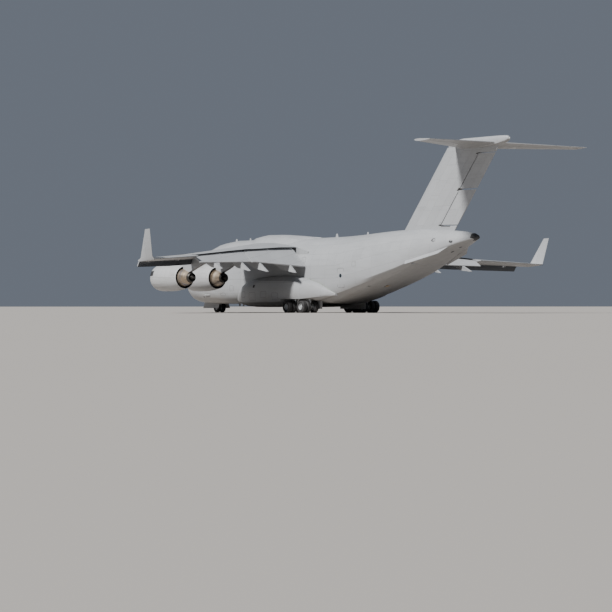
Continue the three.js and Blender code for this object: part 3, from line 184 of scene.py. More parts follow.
def patch(place_of, a, b, long_half, wide_half, lift=0.006, steps=6):
    """A thin plate that lies on a surface."""
    grid = [[place_of(s, t)[0] for t in spaced(b - wide_half, b + wide_half, steps)]
            for s in spaced(a - long_half, a + long_half, steps)]
    out = place_of(a, b)[1]
    return slab([[p + out * lift for p in row] for row in grid], out * -(lift + 0.006))


# An antenna's section: shares of its chord aft, and of half its thickness across.
BLADE_OUTLINE = ((0.0, 0.0), (0.2, 0.8), (0.5, 1.0), (1.0, 0.12), (0.5, -1.0), (0.2, -0.8))
BLADE_THICK = 0.028
BLADE_SWEEP = 0.4


def swept_blade(root, up, length, height):
    """A small swept blade antenna that stands on a surface and points aft."""
    across = up.cross(AHEAD).normalized()
    rings = []
    for rise, share in ((-0.03, 1.0), (height * 0.9, 0.55), (height, 0.44)):
        front = root + up * rise - AHEAD * (BLADE_SWEEP * max(rise, 0))
        rings.append([front - AHEAD * (u * length * share) + across * (v * BLADE_THICK * share / 2)
                      for u, v in BLADE_OUTLINE])
    return loft(rings)


class Piece:
    """Gathers the shapes of one visible piece, and the number of the material of each face."""

    def __init__(self):
        self.points, self.faces, self.paints = [], [], []

    def add(self, shape, paint=0, placed=None):
        """Adds a shape. paint is one number, or one for each face."""
        points, faces = shape
        start = len(self.points)
        self.points += [placed @ p for p in points] if placed else points
        self.faces += [tuple(start + i for i in face) for face in faces]
        self.paints += paint if isinstance(paint, list) else [paint] * len(faces)

    def rod(self, path, radius, sides, paint=0, placed=None):
        """Adds a round bar along a path of points."""
        self.add(tube(path, radius, sides), paint, placed)

    def stud(self, centre, out, low, high, radius, sides, paint=0):
        """Adds a short round bar that stands on a surface, from one height over it to another."""
        self.rod([centre + out * low, centre + out * high], radius, sides, paint)

    def made(self, name, keys, body="airframe", slot="grey_paint", bevel=0.0):
        """The finished object with the materials of some keys, which rides on a body. slot is not used."""
        mesh = bpy.data.meshes.new(name)
        mesh.from_pydata(self.points, [], self.faces)
        for key in keys.split():
            mesh.materials.append(MATERIALS[key])
        mesh.polygons.foreach_set("material_index", self.paints)
        work = bmesh.new()
        work.from_mesh(mesh)
        bmesh.ops.remove_doubles(work, verts=work.verts, dist=2e-6)
        bmesh.ops.dissolve_degenerate(work, edges=work.edges, dist=1e-6)
        bmesh.ops.recalc_face_normals(work, faces=work.faces)
        work.to_mesh(mesh)
        work.free()
        mesh.shade_smooth()
        mesh.set_sharp_from_angle(angle=radians(SMOOTH_DEG))
        piece = in_scene(name, mesh)
        if bevel:
            rounding = piece.modifiers.new("rounding", "BEVEL")
            rounding.width = bevel
            rounding.segments = 2
            rounding.limit_method = "ANGLE"
            rounding.angle_limit = radians(40)
        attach(piece, body)
        return piece


def in_scene(name, data):
    """A new object of the scene."""
    made = bpy.data.objects.new(name, data)
    bpy.context.scene.collection.objects.link(made)
    return made


# Places on the airframe's skin


def tree_of(*names):
    """A search tree over the faces of some CAD nodes."""
    points, faces = [], []
    for name in names:
        start = len(points)
        mesh = NODES[name].data
        points += [v.co.copy() for v in mesh.vertices]
        faces += [tuple(start + i for i in p.vertices) for p in mesh.polygons]
    return BVHTree.FromPolygons(points, faces)


def cast(tree, start, end, lift=0.0):
    """Where a line from start to end first meets the tree's faces, and the outward direction there."""
    run = (end - start).normalized()
    hit, normal, _, _ = tree.ray_cast(start, run)
    if normal.dot(run) > 0:
        normal.negate()
    return hit + normal * lift, normal


BODY_SECTIONS = ("fuselage_forward", "fuselage_centre", "fuselage_aft")
SKIN = tree_of("radome", *BODY_SECTIONS, "wheel_pod_left", "wheel_pod_right")
WINGS = tree_of("wing_left", "wing_right", "wing_fairing")

# The wing's distance out from the middle, leading edge station and chord.
WING_ROWS = (
    (0.0, 13.59, 11.3), (3.3, 15.45, 10.2), (10.5, 19.51, 7.0), (18.53, 24.04, 4.2), (25.15, 27.77, 2.82),
)


def on_side(side, s, z, lift=0.0):
    return cast(SKIN, at(s, side * 9, z), at(s, 0, z), lift)


def on_crown(s, y):
    return cast(SKIN, at(s, y, 12), at(s, y, 4))


def on_belly(s, y, lift=0.0):
    return cast(SKIN, at(s, y, -3), at(s, y, 4), lift)


def wing_station(y, share):
    """The station at a share of the wing's chord, at a distance out from the middle."""
    _, front, chord = in_table(WING_ROWS, abs(y))
    return front + share * chord


def on_wing_top(share, y):
    s = wing_station(y, share)
    return cast(WINGS, at(s, y, 12), at(s, y, 0))


def on_wing_under(share, y):
    s = wing_station(y, share)
    return cast(WINGS, at(s, y, 1.5), at(s, y, 12))


# Materials


class Graph:
    """A material's node tree, with short calls for the nodes that this script uses."""

    def __init__(self, name, roughness, metallic=0.0):
        self.material = bpy.data.materials.new(name)
        self.material.use_nodes = True
        self.tree = self.material.node_tree
        self.tree.nodes.clear()
        self.shader = self.node("BsdfPrincipled")
        self.set("Metallic", metallic)
        self.set("Roughness", roughness)
        output = self.node("OutputMaterial")
        self.tree.links.new(self.shader.outputs[0], output.inputs[0])
        coordinates = self.node("TexCoord")
        self.place = coordinates.outputs["Object"]
        self.facing = coordinates.outputs["Normal"]
        self.x, self.y, self.z = self.split(self.place)
        self.facing_up = self.split(self.facing)[2]
        self.normal = None

    def node(self, kind, *values, **settings):
        """A new node, with its settings and with values or sockets put in its first inputs."""
        made = self.tree.nodes.new("ShaderNode" + kind)
        for key, value in settings.items():
            setattr(made, key, value)
        for socket, value in zip(made.inputs, values):
            self.put(socket, value)
        return made

    def put(self, socket, value):
        if isinstance(value, bpy.types.NodeSocket):
            self.tree.links.new(value, socket)
        else:
            socket.default_value = value

    def set(self, name, value):
        """Sets an input of the shader."""
        self.put(self.shader.inputs[name], value)

    def math(self, operation, a, b=0.0):
        return self.node("Math", a, b, operation=operation).outputs[0]

    def times(self, a, b):
        return self.math("MULTIPLY", a, b)

    def split(self, vector):
        return tuple(self.node("SeparateXYZ", vector).outputs)

    def combine(self, x, y, z=0.0):
        return self.node("CombineXYZ", x, y, z).outputs[0]

    def noise(self, scale, stretch=(1, 1, 1), detail=4.0):
        moved = self.node("Mapping", self.place)
        moved.inputs["Scale"].default_value = stretch
        made = self.node("TexNoise", moved.outputs[0])
        made.inputs["Scale"].default_value = scale
        made.inputs["Detail"].default_value = detail
        return made.outputs["Fac"]

    def spread(self, value, low, high, to_low=0.0, to_high=1.0):
        """value's range low to high mapped to another range, and held there outside it."""
        made = self.node("MapRange", value, low, high, to_low, to_high, interpolation_type="SMOOTHSTEP")
        return made.outputs[0]

    def mix(self, share, a, b):
        """Two colours mixed. Each is a tone or a socket."""
        made = self.node("Mix", share, data_type="RGBA")
        for socket, value in zip(made.inputs[6:8], (a, b)):
            self.put(socket, (*value, 1) if isinstance(value, tuple) else value)
        return made.outputs[2]

    def panels(self, u, v, width, height, seam, tone_a, tone_b, line):
        """A grid of staggered panels, each a little lighter or darker than the next, with thin seams."""
        made = self.node("TexBrick", self.combine(u, v), offset=0.0, squash=0.55, squash_frequency=3)
        values = {"Scale": 1.0, "Mortar Size": seam, "Mortar Smooth": 0.2, "Bias": 0.0,
                  "Brick Width": width, "Row Height": height,
                  "Color1": (*tone_a, 1), "Color2": (*tone_b, 1), "Mortar": (*line, 1)}
        for key, value in values.items():
            made.inputs[key].default_value = value
        return made.outputs["Color"], made.outputs["Fac"]

    def bump(self, height, distance, strength=1.0):
        made = self.node("Bump")
        for key, value in (("Distance", distance), ("Strength", strength), ("Height", height)):
            self.put(made.inputs[key], value)
        if self.normal:
            self.put(made.inputs["Normal"], self.normal)
        self.normal = made.outputs[0]
        self.set("Normal", self.normal)

    def finish(self, colour, roughness=None):
        self.set("Base Color", colour)
        if roughness is not None:
            self.set("Roughness", roughness)
        return self.material


def shade(tone, share):
    return tuple(channel * share for channel in tone)


PAINT_TONE = (0.385, 0.395, 0.41)
# A brown-grey tone for grime near the ground, for painted shade on faces that look down, and for the cowls'
# darker lower part.
GRIME_AND_SHADE_TONE = (0.2, 0.17, 0.14)
# Near-black painted shade for faces in coves.
COVE_SHADE_TONE = (0.04, 0.045, 0.055)
QUILT_TONES = (0.3, 0.32, 0.29), (0.26, 0.28, 0.26), (0.1, 0.11, 0.1)  # two quilts, and their stitching
UNDERSIDE_SHADE_SHARE = 0.4  # how far painted shade darkens the paint of faces that look down
BODY_RADIUS = 1.7
BODY_AXIS_Z = 2.2
TAIL_FROM_X = -2.04  # behind this, the body's middle line rises
TAIL_RISE = 0.158
HOLD_END_X = -7.0
RAKES = {"wing": 0.42, "tailplane": 0.37}  # how far aft their panels' rows run for each metre out
FIN_RAKE = 0.82


def rivets(graph, u, v, pitch, row):
    """Rows of small round heads, as a height from 0 to 1."""
    across = graph.math("SUBTRACT", graph.math("PINGPONG", u, pitch / 2), pitch / 4)
    along = graph.math("SUBTRACT", graph.math("PINGPONG", v, row / 2), 0.012)
    reach = graph.math("SQRT", graph.math("ADD", graph.times(across, across), graph.times(along, along)))
    return graph.spread(reach, 0.0016, 0.0026, 1.0, 0.0)


def panel_axes(graph, plan):
    """The two coordinates that a surface's panels follow: along their rows, and across them."""
    if plan in RAKES:
        out = graph.math("ABSOLUTE", graph.y)
        return out, graph.math("ADD", graph.x, graph.times(out, RAKES[plan]))
    if plan == "fin":
        return graph.z, graph.math("ADD", graph.x, graph.times(graph.z, FIN_RAKE))
    if plan == "side":
        return graph.x, graph.z
    return graph.x, graph.times(graph.math("ARCTAN2", graph.y, above_axis(graph)), BODY_RADIUS)


def above_axis(graph):
    """The height above the body's middle line, which rises towards the tail."""
    aft = graph.math("MAXIMUM", graph.math("SUBTRACT", TAIL_FROM_X, graph.x), 0.0)
    axis = graph.math("ADD", graph.times(aft, TAIL_RISE), BODY_AXIS_Z)
    return graph.math("SUBTRACT", graph.z, axis)


def aircraft_paint(name, plan, width, height, tone=PAINT_TONE, lined=False, painted_cove_shade=None):
    """Satin grey paint over riveted panels, with streaks along the airflow, grime near the ground, and
    painted shade on faces that look down.

    The last argument gives near-black painted shade to faces in hidden coves: the way they look, 1 ahead or
    -1 aft, and how far they do so at least.
    """
    graph = Graph(name, 0.45)
    u, v = panel_axes(graph, plan)
    tones = shade(tone, 1.03), shade(tone, 0.95), shade(tone, 0.45)
    colour, seam = graph.panels(u, v, width, height, 0.0035, *tones)
    cloud = graph.spread(graph.noise(1.1, detail=6), 0.3, 0.7)
    colour = graph.mix(graph.times(cloud, 0.16), colour, shade(tone, 0.72))
    streak = graph.spread(graph.noise(5.0, (0.12, 1.6, 1.6), 8), 0.5, 0.8)
    colour = graph.mix(graph.times(streak, 0.25), colour, shade(tone, 0.6))
    near_ground = graph.spread(graph.z, 0.35, 1.7, 1.0, 0.0)
    splashed = graph.spread(graph.noise(2.3, (0.35, 1, 1), 7), 0.35, 0.75, 0.1, 0.5)
    colour = graph.mix(graph.times(near_ground, splashed), colour, GRIME_AND_SHADE_TONE)
    # Painted shade: faces that look down are darkened towards the brown-grey tone.
    painted_shade_beneath = graph.spread(graph.facing_up, -0.75, -0.2, UNDERSIDE_SHADE_SHARE, 0.0)
    colour = graph.mix(painted_shade_beneath, colour, GRIME_AND_SHADE_TONE)
    roughness = graph.spread(graph.noise(3.0, detail=5), 0.2, 0.8, 0.36, 0.56)
    graph.bump(graph.noise(1.6, detail=2), 0.006, 0.35)
    graph.bump(graph.math("SUBTRACT", 1.0, seam), 0.0015)
    graph.bump(rivets(graph, u, v, 0.03, height), 0.0008)
    if lined:
        out = graph.combine(0.0, graph.y, above_axis(graph))
        inward = graph.node("VectorMath", graph.facing, out, operation="DOT_PRODUCT").outputs["Value"]
        within_hold = graph.math("GREATER_THAN", graph.x, HOLD_END_X)
        inside = graph.times(graph.spread(inward, -0.35, -0.15, 1.0, 0.0), within_hold)
        quilt, _ = graph.panels(u, v, 0.26, 0.26, 0.006, *QUILT_TONES)
        colour = graph.mix(inside, colour, quilt)
    # Painted shade: faces in the coves that look the given way turn near-black.
    if painted_cove_shade:
        way, least = painted_cove_shade
        along = graph.times(graph.split(graph.facing)[0], way)
        colour = graph.mix(graph.spread(along, least, least + 0.15), colour, COVE_SHADE_TONE)
    return graph.finish(colour, roughness)


def cowl_paint(name, tone):
    """Engine cowl paint, with soot and oil streaks towards the back, and darker towards the bottom."""
    graph = Graph(name, 0.4)
    turn = graph.math("ARCTAN2", graph.math("SUBTRACT", graph.z, 1.8), graph.math("PINGPONG", graph.y, 1.5))
    tones = shade(tone, 1.02), shade(tone, 0.94), shade(tone, 0.4)
    colour, seam = graph.panels(graph.x, turn, 0.62, 0.785, 0.003, *tones)
    streak = graph.spread(graph.noise(6.0, (0.1, 1.5, 1.5), 8), 0.48, 0.78)
    colour = graph.mix(graph.times(streak, 0.35), colour, (0.17, 0.145, 0.12))
    # The cowl's paint gets darker towards the bottom.
    colour = graph.mix(graph.spread(graph.z, 1.1, 1.6, 0.3, 0.0), colour, GRIME_AND_SHADE_TONE)
    graph.bump(graph.math("SUBTRACT", 1.0, seam), 0.0015)
    return graph.finish(colour, graph.spread(graph.noise(4.0), 0.2, 0.8, 0.3, 0.5))


def metal(name, tone, roughness, grain=(1, 8, 8), wear=0.25):
    """Bare or plated metal with a faint drawn grain and stains."""
    graph = Graph(name, roughness, 1.0)
    grainy = graph.noise(22.0, grain, 8)
    stain = graph.spread(graph.noise(3.0, detail=7), 0.4, 0.75)
    colour = graph.mix(grainy, shade(tone, 0.86), shade(tone, 1.08))
    colour = graph.mix(graph.times(stain, wear), colour, shade(tone, 0.4))
    graph.bump(grainy, 0.0006, 0.4)
    return graph.finish(colour, graph.spread(stain, 0.0, 1.0, roughness * 0.8, min(1.0, roughness * 1.4)))


def heated_metal(name):
    """The core cowl's metal, tan from heat, with blue and brown bands and soot."""
    graph = Graph(name, 0.4, 0.85)
    band = graph.noise(2.2, (1.6, 0.5, 0.5), 6)
    colour = graph.mix(graph.spread(band, 0.35, 0.65), (0.34, 0.26, 0.18), (0.5, 0.42, 0.33))
    blued = graph.spread(graph.noise(1.7, (2.0, 0.6, 0.6), 5), 0.55, 0.75)
    colour = graph.mix(blued, colour, (0.2, 0.21, 0.27))
    soot = graph.spread(graph.noise(5.0, (0.3, 1.4, 1.4), 8), 0.5, 0.8, 0.0, 0.6)
    colour = graph.mix(soot, colour, (0.06, 0.05, 0.045))
    graph.bump(graph.noise(30.0, (1, 4, 4)), 0.0005, 0.5)
    return graph.finish(colour, graph.spread(band, 0.3, 0.7, 0.3, 0.55))


def dull(name, tone, roughness=0.8, grain=40.0, depth=0.0008):
    """A dull surface such as rubber or sealant, or the near-black painted shade inside ducts, dusty in
    patches.
    """
    graph = Graph(name, roughness)
    dust = graph.spread(graph.noise(6.0, detail=8), 0.45, 0.8, 0.0, 0.35)
    colour = graph.mix(dust, tone, tuple(channel + 0.5 * (0.3 - channel) for channel in tone))
    graph.bump(graph.noise(grain, detail=3), depth, 0.5)
    return graph.finish(colour, graph.spread(dust, 0.0, 0.35, roughness * 0.85, min(1.0, roughness * 1.1)))


def gloss_paint(name, tone, roughness=0.3):
    """Gloss enamel with small stains, for gear legs and small parts."""
    graph = Graph(name, roughness)
    stain = graph.spread(graph.noise(9.0, detail=8), 0.5, 0.75, 0.0, 0.4)
    colour = graph.mix(stain, tone, shade(tone, 0.55))
    graph.bump(graph.noise(18.0, detail=2), 0.0005, 0.3)
    return graph.finish(colour, graph.spread(stain, 0.0, 0.4, roughness, roughness + 0.2))


def glass(name, tone, clear):
    """Tinted glass with faint smears."""
    graph = Graph(name, 0.06)
    graph.set("Transmission Weight", clear)
    graph.set("IOR", 1.5)
    smear = graph.spread(graph.noise(4.0, (1, 1, 3), 6), 0.45, 0.8)
    colour = graph.mix(graph.times(smear, 0.3), tone, tuple(min(1.0, channel + 0.12) for channel in tone))
    return graph.finish(colour, graph.spread(smear, 0.0, 1.0, 0.04, 0.16))


def lamp(name, tone):
    """A small lit lens."""
    graph = Graph(name, 0.1)
    graph.set("Emission Color", (*tone, 1))
    graph.set("Emission Strength", 0.6)
    return graph.finish(graph.mix(graph.noise(60.0, detail=1), tone, shade(tone, 0.7)))


def plated_floor(name):
    """The hold's floor: worn metal planks with a grip pattern."""
    graph = Graph(name, 0.5, 0.6)
    tones = (0.2, 0.21, 0.215), (0.17, 0.18, 0.185), (0.04, 0.04, 0.04)
    colour, seam = graph.panels(graph.x, graph.y, 0.9, 0.3, 0.004, *tones)
    scuff = graph.spread(graph.noise(7.0, (0.2, 2, 1), 8), 0.45, 0.7, 0.0, 0.6)
    colour = graph.mix(scuff, colour, (0.4, 0.4, 0.4))
    graph.bump(graph.noise(90.0, detail=2), 0.0006, 0.5)
    graph.bump(graph.math("SUBTRACT", 1.0, seam), 0.002)
    return graph.finish(colour, graph.spread(scuff, 0.0, 0.6, 0.6, 0.35))


MATERIALS = {
    "body": aircraft_paint("body_paint", "round", 1.22, 0.62, lined=True),
    # The wing, flap and slat paints carry near-black painted shade in their coves.
    "wing": aircraft_paint("wing_paint", "wing", 1.9, 0.48, painted_cove_shade=(-1, 0.6)),
    "flap": aircraft_paint("flap_paint", "wing", 1.9, 0.48, painted_cove_shade=(1, 0.68)),
    "slat": aircraft_paint("slat_paint", "wing", 1.9, 0.48, painted_cove_shade=(-1, 0.1)),
    "tailplane": aircraft_paint("tailplane_paint", "tailplane", 1.4, 0.5),
    "fin": aircraft_paint("fin_paint", "fin", 1.3, 0.62, shade(PAINT_TONE, 1.03)),
    "side": aircraft_paint("pylon_paint", "side", 0.7, 0.4),
    "radome": aircraft_paint("radome_paint", "round", 9.0, 9.0, (0.4, 0.415, 0.42)),
    "cowl": cowl_paint("cowl_paint", (0.47, 0.475, 0.48)),
    "lip": metal("intake_lip_metal", (0.6, 0.61, 0.62), 0.3),
    "lining": dull("intake_lining", (0.3, 0.31, 0.31), 0.6, 120.0, 0.0006),
    # Painted shade: the walls of the fan's bypass stream, the core's face behind the fan and the inside of
    # its nozzle are near-black.
    "duct": dull("fan_duct_painted_shade", (0.035, 0.035, 0.037), 0.7),
    "heated": heated_metal("heated_metal"),
    "burnt": metal("burnt_metal", (0.09, 0.085, 0.08), 0.5, (1, 6, 6), 0.6),
    "fan": metal("fan_blade_metal", (0.2, 0.205, 0.215), 0.35, (8, 8, 1)),
    "tan": dull("sealant_patch", (0.42, 0.3, 0.17), 0.6),
    "spinner": gloss_paint("spinner_paint", (0.08, 0.08, 0.085), 0.4),
    "chrome": metal("chrome_plate", (0.75, 0.76, 0.78), 0.12, (1, 1, 1), 0.1),
    "gear": gloss_paint("gear_enamel", (0.72, 0.73, 0.72)),
    "hub": gloss_paint("wheel_enamel", (0.4, 0.41, 0.42), 0.4),
    "rubber": dull("tyre_rubber", (0.022, 0.021, 0.022), 0.85, 60.0),
    "seal": dull("window_sealant", (0.03, 0.03, 0.032), 0.7),
    # Near-black: painted shade in the vents' middles and the latch slot; also used for the cowl hatches,
    # drains, grilles and sensors.
    "dark": dull("vent_interior", (0.02, 0.02, 0.022), 0.8),
    "pane": glass("pane_glass", (0.03, 0.045, 0.06), 0.35),
    "cab_glass": glass("windscreen_glass", (0.4, 0.47, 0.5), 0.85),
    "floor": plated_floor("hold_floor_metal"),
    "interior": dull("flight_deck_plastic", (0.1, 0.105, 0.11), 0.65),
    "frames": gloss_paint("hold_frame_primer", (0.35, 0.38, 0.3), 0.5),
    "red": lamp("port_light_lens", (0.75, 0.03, 0.02)),
    "green": lamp("starboard_light_lens", (0.03, 0.6, 0.15)),
    "white": lamp("white_light_lens", (0.85, 0.87, 0.8)),
}

# The materials of the CAD nodes, by how their names start. The first start that fits counts.
NODE_MATERIALS = (
    ("radome", "radome"),
    ("body", "fuselage wheel_pod wing_fairing crew_door cargo_ramp aft_cargo_door"),
    ("cab_glass", "windscreen"),
    ("floor", "cargo_floor"),
    ("interior", "flight_deck"),
    ("wing", "wing_ aileron"),
    ("flap", "flap_"),
    ("slat", "slats"),
    ("tailplane", "tailplane elevator"),
    ("fin", "fin rudder"),
    ("side", "pylon main_gear_door nose_gear_door"),
    ("gear", "nose_gear_ main_gear_"),
    ("cowl", "nacelle"),
    ("heated", "engine_"),
    ("fan", "fan_"),
    ("rubber", "main_wheels nose_wheels"),
)


def smoothing_nodes():
    """A node tree that joins split corners and shades shallow edges smooth."""
    tree = bpy.data.node_groups.new("smooth_shallow_edges", "GeometryNodeTree")
    for way in ("INPUT", "OUTPUT"):
        tree.interface.new_socket("Mesh", in_out=way, socket_type="NodeSocketGeometry")
    kinds = ("NodeGroupInput", "NodeGroupOutput", "GeometryNodeMergeByDistance",
             "GeometryNodeInputMeshEdgeAngle", "FunctionNodeCompare", "GeometryNodeSetMeshNormal")
    source, result, joined, angle, steep, normals = (tree.nodes.new(kind) for kind in kinds)
    joined.inputs["Distance"].default_value = 2e-5
    steep.operation = "GREATER_THAN"
    steep.inputs[1].default_value = radians(CAD_SMOOTH_DEG)
    normals.mode = "SHARPNESS"
    normals.inputs["Remove Custom"].default_value = True
    for start, end in (
            (source.outputs["Mesh"], joined.inputs["Geometry"]),
            (angle.outputs["Unsigned Angle"], steep.inputs[0]),
            (joined.outputs["Geometry"], normals.inputs["Mesh"]),
            (steep.outputs[0], normals.inputs["Edge Sharpness"]),
            (normals.outputs["Mesh"], result.inputs["Mesh"])):
        tree.links.new(start, end)
    return tree


def dress_cad_nodes():
    """Gives each CAD node its material, and smooth shading over its shallow edges."""
    tree = smoothing_nodes()
    for name, node in NODES.items():
        key = next(key for key, starts in NODE_MATERIALS if name.startswith(tuple(starts.split())))
        node.data.materials.clear()
        node.data.materials.append(MATERIALS[key])
        node.modifiers.new("smoothing", "NODES").node_group = tree


# Engines


def outline(*runs):
    """Runs of one material each, as rows of a distance aft, a radius and the material that starts there."""
    return [(s, r, key) for key, *points in runs for s, r in points]


COWL_SIDES = 72
CORE_SIDES = 48
HUB_SIDES = 32
FAN_BLADES = 24
GUIDE_VANES = 22
COWL_OUTSIDE = 11  # how many rows of its outline lie on the cowl's outer side

COWL_OUTLINE = outline(
    ("lip", (0.0, 1.19), (0.015, 1.222), (0.05, 1.252)),
    ("cowl", (0.12, 1.285), (0.35, 1.335), (0.7, 1.37), (1.4, 1.386), (2.3, 1.384), (3.1, 1.342),
     (3.9, 1.248)),
    ("lip", (4.55, 1.13)),
    ("duct", (4.55, 1.108), (3.9, 1.16), (3.3, 1.186), (2.4, 1.14)),
    ("lining", (1.5, 1.082), (0.6, 1.082)),
    ("lip", (0.25, 1.108), (0.08, 1.145), (0.02, 1.168)),
)
CORE_OUTLINE = outline(
    ("duct", (1.51, 0.02), (1.51, 0.56), (2.4, 0.74), (3.3, 0.875), (3.8, 0.918)),
    ("heated", (4.1, 0.926), (4.55, 0.886), (4.95, 0.775), (5.35, 0.636)),
    ("burnt", (5.6, 0.545), (5.88, 0.452), (5.895, 0.438)),
    ("duct", (5.88, 0.41), (5.62, 0.38)),
    ("burnt", (5.6, 0.27), (5.85, 0.225), (6.33, 0.02)),
)
FAN_HUB = outline(
    ("spinner", (0.62, 0.01), (0.66, 0.06), (0.74, 0.13), (0.85, 0.2), (1.0, 0.28), (1.16, 0.345),
     (1.35, 0.39), (1.49, 0.41), (1.49, 0.02)),
)
# A fan blade's section, as shares of its chord and thickness, and its radii.
BLADE_SECTION = (
    (0.5, 0.0), (0.3, 0.5), (0.0, 0.65), (-0.3, 0.4), (-0.5, 0.0), (-0.3, -0.3), (0.0, -0.45), (0.3, -0.35),
)
FAN_TIP = 1.05
FAN_ROOT = 0.32
FAN_AFT = 1.28  # from the lip to the middle of the blades
VANES_AFT = 1.82
# A guide vane's corners in model metres, from a point on the engine's line.
VANE_LOW, VANE_HIGH = (-0.13, -0.006, 0.29), (0.0, 0.006, 0.538)
# Hatches: degrees round the cowl, distance aft of the lip, length, and width in radians.
COWL_HATCHES = ((20, 0.12, 0.6, 0.42), (-90, 1.5, 0.3, 0.13))


def turned(engine, rows, sides, keys, closed=False):
    """A body of revolution about the engine's line, with a material for each stretch of its outline."""
    centre = Matrix.Translation((0, engine["y"] * K, engine["z"] * K))
    front = at(engine["lip"], 0, 0).x
    stretches = rows if closed else rows[:-1]
    paints = [keys.split().index(key) for _, _, key in stretches for _ in range(sides)]
    piece = Piece()
    piece.add(lathe([(front - s * K, r * K) for s, r, _ in rows], sides, closed), paints, centre)
    return piece


def add_round(piece, shape, centre, angles):
    """Adds a shape of material 0 at each of some angles about a line along the engine."""
    for angle in angles:
        piece.add(shape, 0, Matrix.Translation(centre) @ Matrix.Rotation(angle, 4, "X"))


def cowl_hatch(engine, turn_deg, s, length, width):
    """A small dark hatch let into the cowl, as the photograph shows near the lip."""
    outside = [row[:2] for row in COWL_OUTLINE[:COWL_OUTSIDE]]
    middle = radians(turn_deg)
    grid = []
    for station in spaced(s, s + length, 4):
        reach = in_table(outside, station)[1] + 0.008
        row = [(engine["y"] + reach * cos(turn), engine["z"] + reach * sin(turn))
               for turn in (middle + (j / 4 - 0.5) * width for j in range(5))]
        grid.append([at(engine["lip"] + station, y, z) for y, z in row])
    return slab(grid, Vector((0, cos(middle), sin(middle))) * -0.02)


def fan_blade():
    """A twisted and bowed fan blade, which stands up from the engine's line."""
    rings = []
    for share in spaced(0, 1, 6):
        twist = 0.5 + 0.6 * share
        chord, thick = (0.24 + 0.07 * share) * K, (0.034 - 0.02 * share) * K
        bow = 0.05 * sin(pi * share) * K
        radius = (FAN_ROOT + (FAN_TIP - FAN_ROOT) * share) * K
        rings.append([Vector((u * chord * cos(twist) - v * thick * sin(twist),
                              u * chord * sin(twist) + v * thick * cos(twist) + bow,
                              radius)) for u, v in BLADE_SECTION])
    return loft(rings)


def make_engine(key, engine):
    """The cowl, the core with its guide vanes and the fan of one engine, in place of their CAD nodes."""
    keys = "cowl lip lining duct dark"
    cowl = turned(engine, COWL_OUTLINE, COWL_SIDES, keys, True)
    for row in COWL_HATCHES:
        cowl.add(cowl_hatch(engine, *row), 4)
    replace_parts(cowl.made("cowl_" + key, keys, slot="cowl_paint"), "nacelle_" + key)

    keys = "duct heated burnt"
    core = turned(engine, CORE_OUTLINE, CORE_SIDES, keys)
    centre = at(engine["lip"] + VANES_AFT, engine["y"], engine["z"])
    add_round(core, box(VANE_LOW, VANE_HIGH), centre, turns(GUIDE_VANES, 0.5))
    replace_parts(core.made("core_" + key, keys, slot="hot_metal"), "engine_" + key)

    keys = "fan spinner"
    fan = turned(engine, FAN_HUB, HUB_SIDES, keys)
    add_round(fan, fan_blade(), at(engine["lip"] + FAN_AFT, engine["y"], engine["z"]), turns(FAN_BLADES))
    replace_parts(fan.made("fan_blades_" + key, keys, "fan_" + key, "fan_metal"), "fan_" + key)


# Wheels and gear

WHEEL_SIDES = 48
WHEEL_BOLTS = 10
GROOVE = 0.014


def wheel_outline(size):
    """Half of a wheel's section, out from its middle line: the tyre's points and the hub's points."""
    radius, half, rim = size["radius"], size["half"], size["rim"]
    tyre = [(0.0, radius)]
    for middle in (half * 0.2, half * 0.52):
        tyre += [(middle - 0.007, radius), (middle - 0.005, radius - GROOVE),
                 (middle + 0.005, radius - GROOVE), (middle + 0.007, radius)]
    tyre += [(half * 0.7, radius - 0.008), (half * 0.84, radius - 0.035), (half * 0.95, radius - 0.09),
             (half, radius - 0.16), (half * 0.97, rim + 0.08), (half * 0.86, rim + 0.02),
             (half * 0.78, rim)]
    hub = [(half * 0.84, rim - 0.012), (half * 0.8, rim - 0.03), (half * 0.45, rim - 0.05),
           (half * 0.36, rim * 0.62), (half * 0.5, rim * 0.5), (half * 0.62, rim * 0.42),
           (half * 0.66, rim * 0.3), (half * 0.66, 0.001)]
    return tyre, hub


def wheel(piece, size, s, y):
    """One wheel: a grooved tyre on a dished hub with bolts."""
    tyre, hub = wheel_outline(size)
    far_tyre, far_hub = ([(-a, r) for a, r in reversed(points)] for points in (tyre[1:], hub))
    profile = far_tyre + tyre + hub + far_hub
    tyre_parts = len(far_tyre) + len(tyre) - 1
    paints = [0 if i < tyre_parts else 1 for i in range(len(profile)) for _ in range(WHEEL_SIDES)]
    placed = Matrix.Translation(at(s, y, size["axle_z"])) @ Matrix.Rotation(pi / 2, 4, "Z")
    piece.add(lathe([(a * K, r * K) for a, r in profile], WHEEL_SIDES), paints, placed)
    ring, face = size["rim"] * 0.55 * K, size["half"] * 0.42 * K
    for turn in turns(WHEEL_BOLTS):
        for way in (-1, 1):
            start = Vector((way * face * 0.8, ring * cos(turn), ring * sin(turn)))
            piece.rod([start, start + AHEAD * (way * 0.022)], 0.011, 6, 2, placed)


def make_wheels():
    """The grooved tyres and hubs in place of the plain CAD wheels, one piece for each axle."""
    sets = [("nose_tyres", "nose_wheels", NOSE_WHEELS, NOSE_AXLE_S, 1)]
    for side, sign in SIDES.items():
        for row, s in MAIN_AXLES.items():
            sets.append((f"main_tyres_{side}_{row}", f"main_wheels_{side}_{row}", MAIN_WHEELS, s, sign))
    for name, node, size, s, sign in sets:
        piece = Piece()
        places = [sign * y for y in size["out"]]
        for y in places:
            wheel(piece, size, s, y)
        piece.rod([at(s, y, size["axle_z"]) for y in (min(places), max(places))], 0.043, 20, 1)
        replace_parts(piece.made(name, "rubber hub chrome", node, "tyre"), node)


def torque_link(piece, top, knee, bottom, across, width):
    """A pair of hinged plates that keep a leg's lower part from turning."""
    for end in (top, bottom):
        for shift in (LEFT * -across, LEFT * across):
            piece.rod([end + shift * 1.5, knee + shift * 0.7], width, 6)
        piece.stud(end, LEFT, across * -2, across * 2, width * 0.9, 8)
    piece.stud(knee, LEFT, -across, across, width, 8)


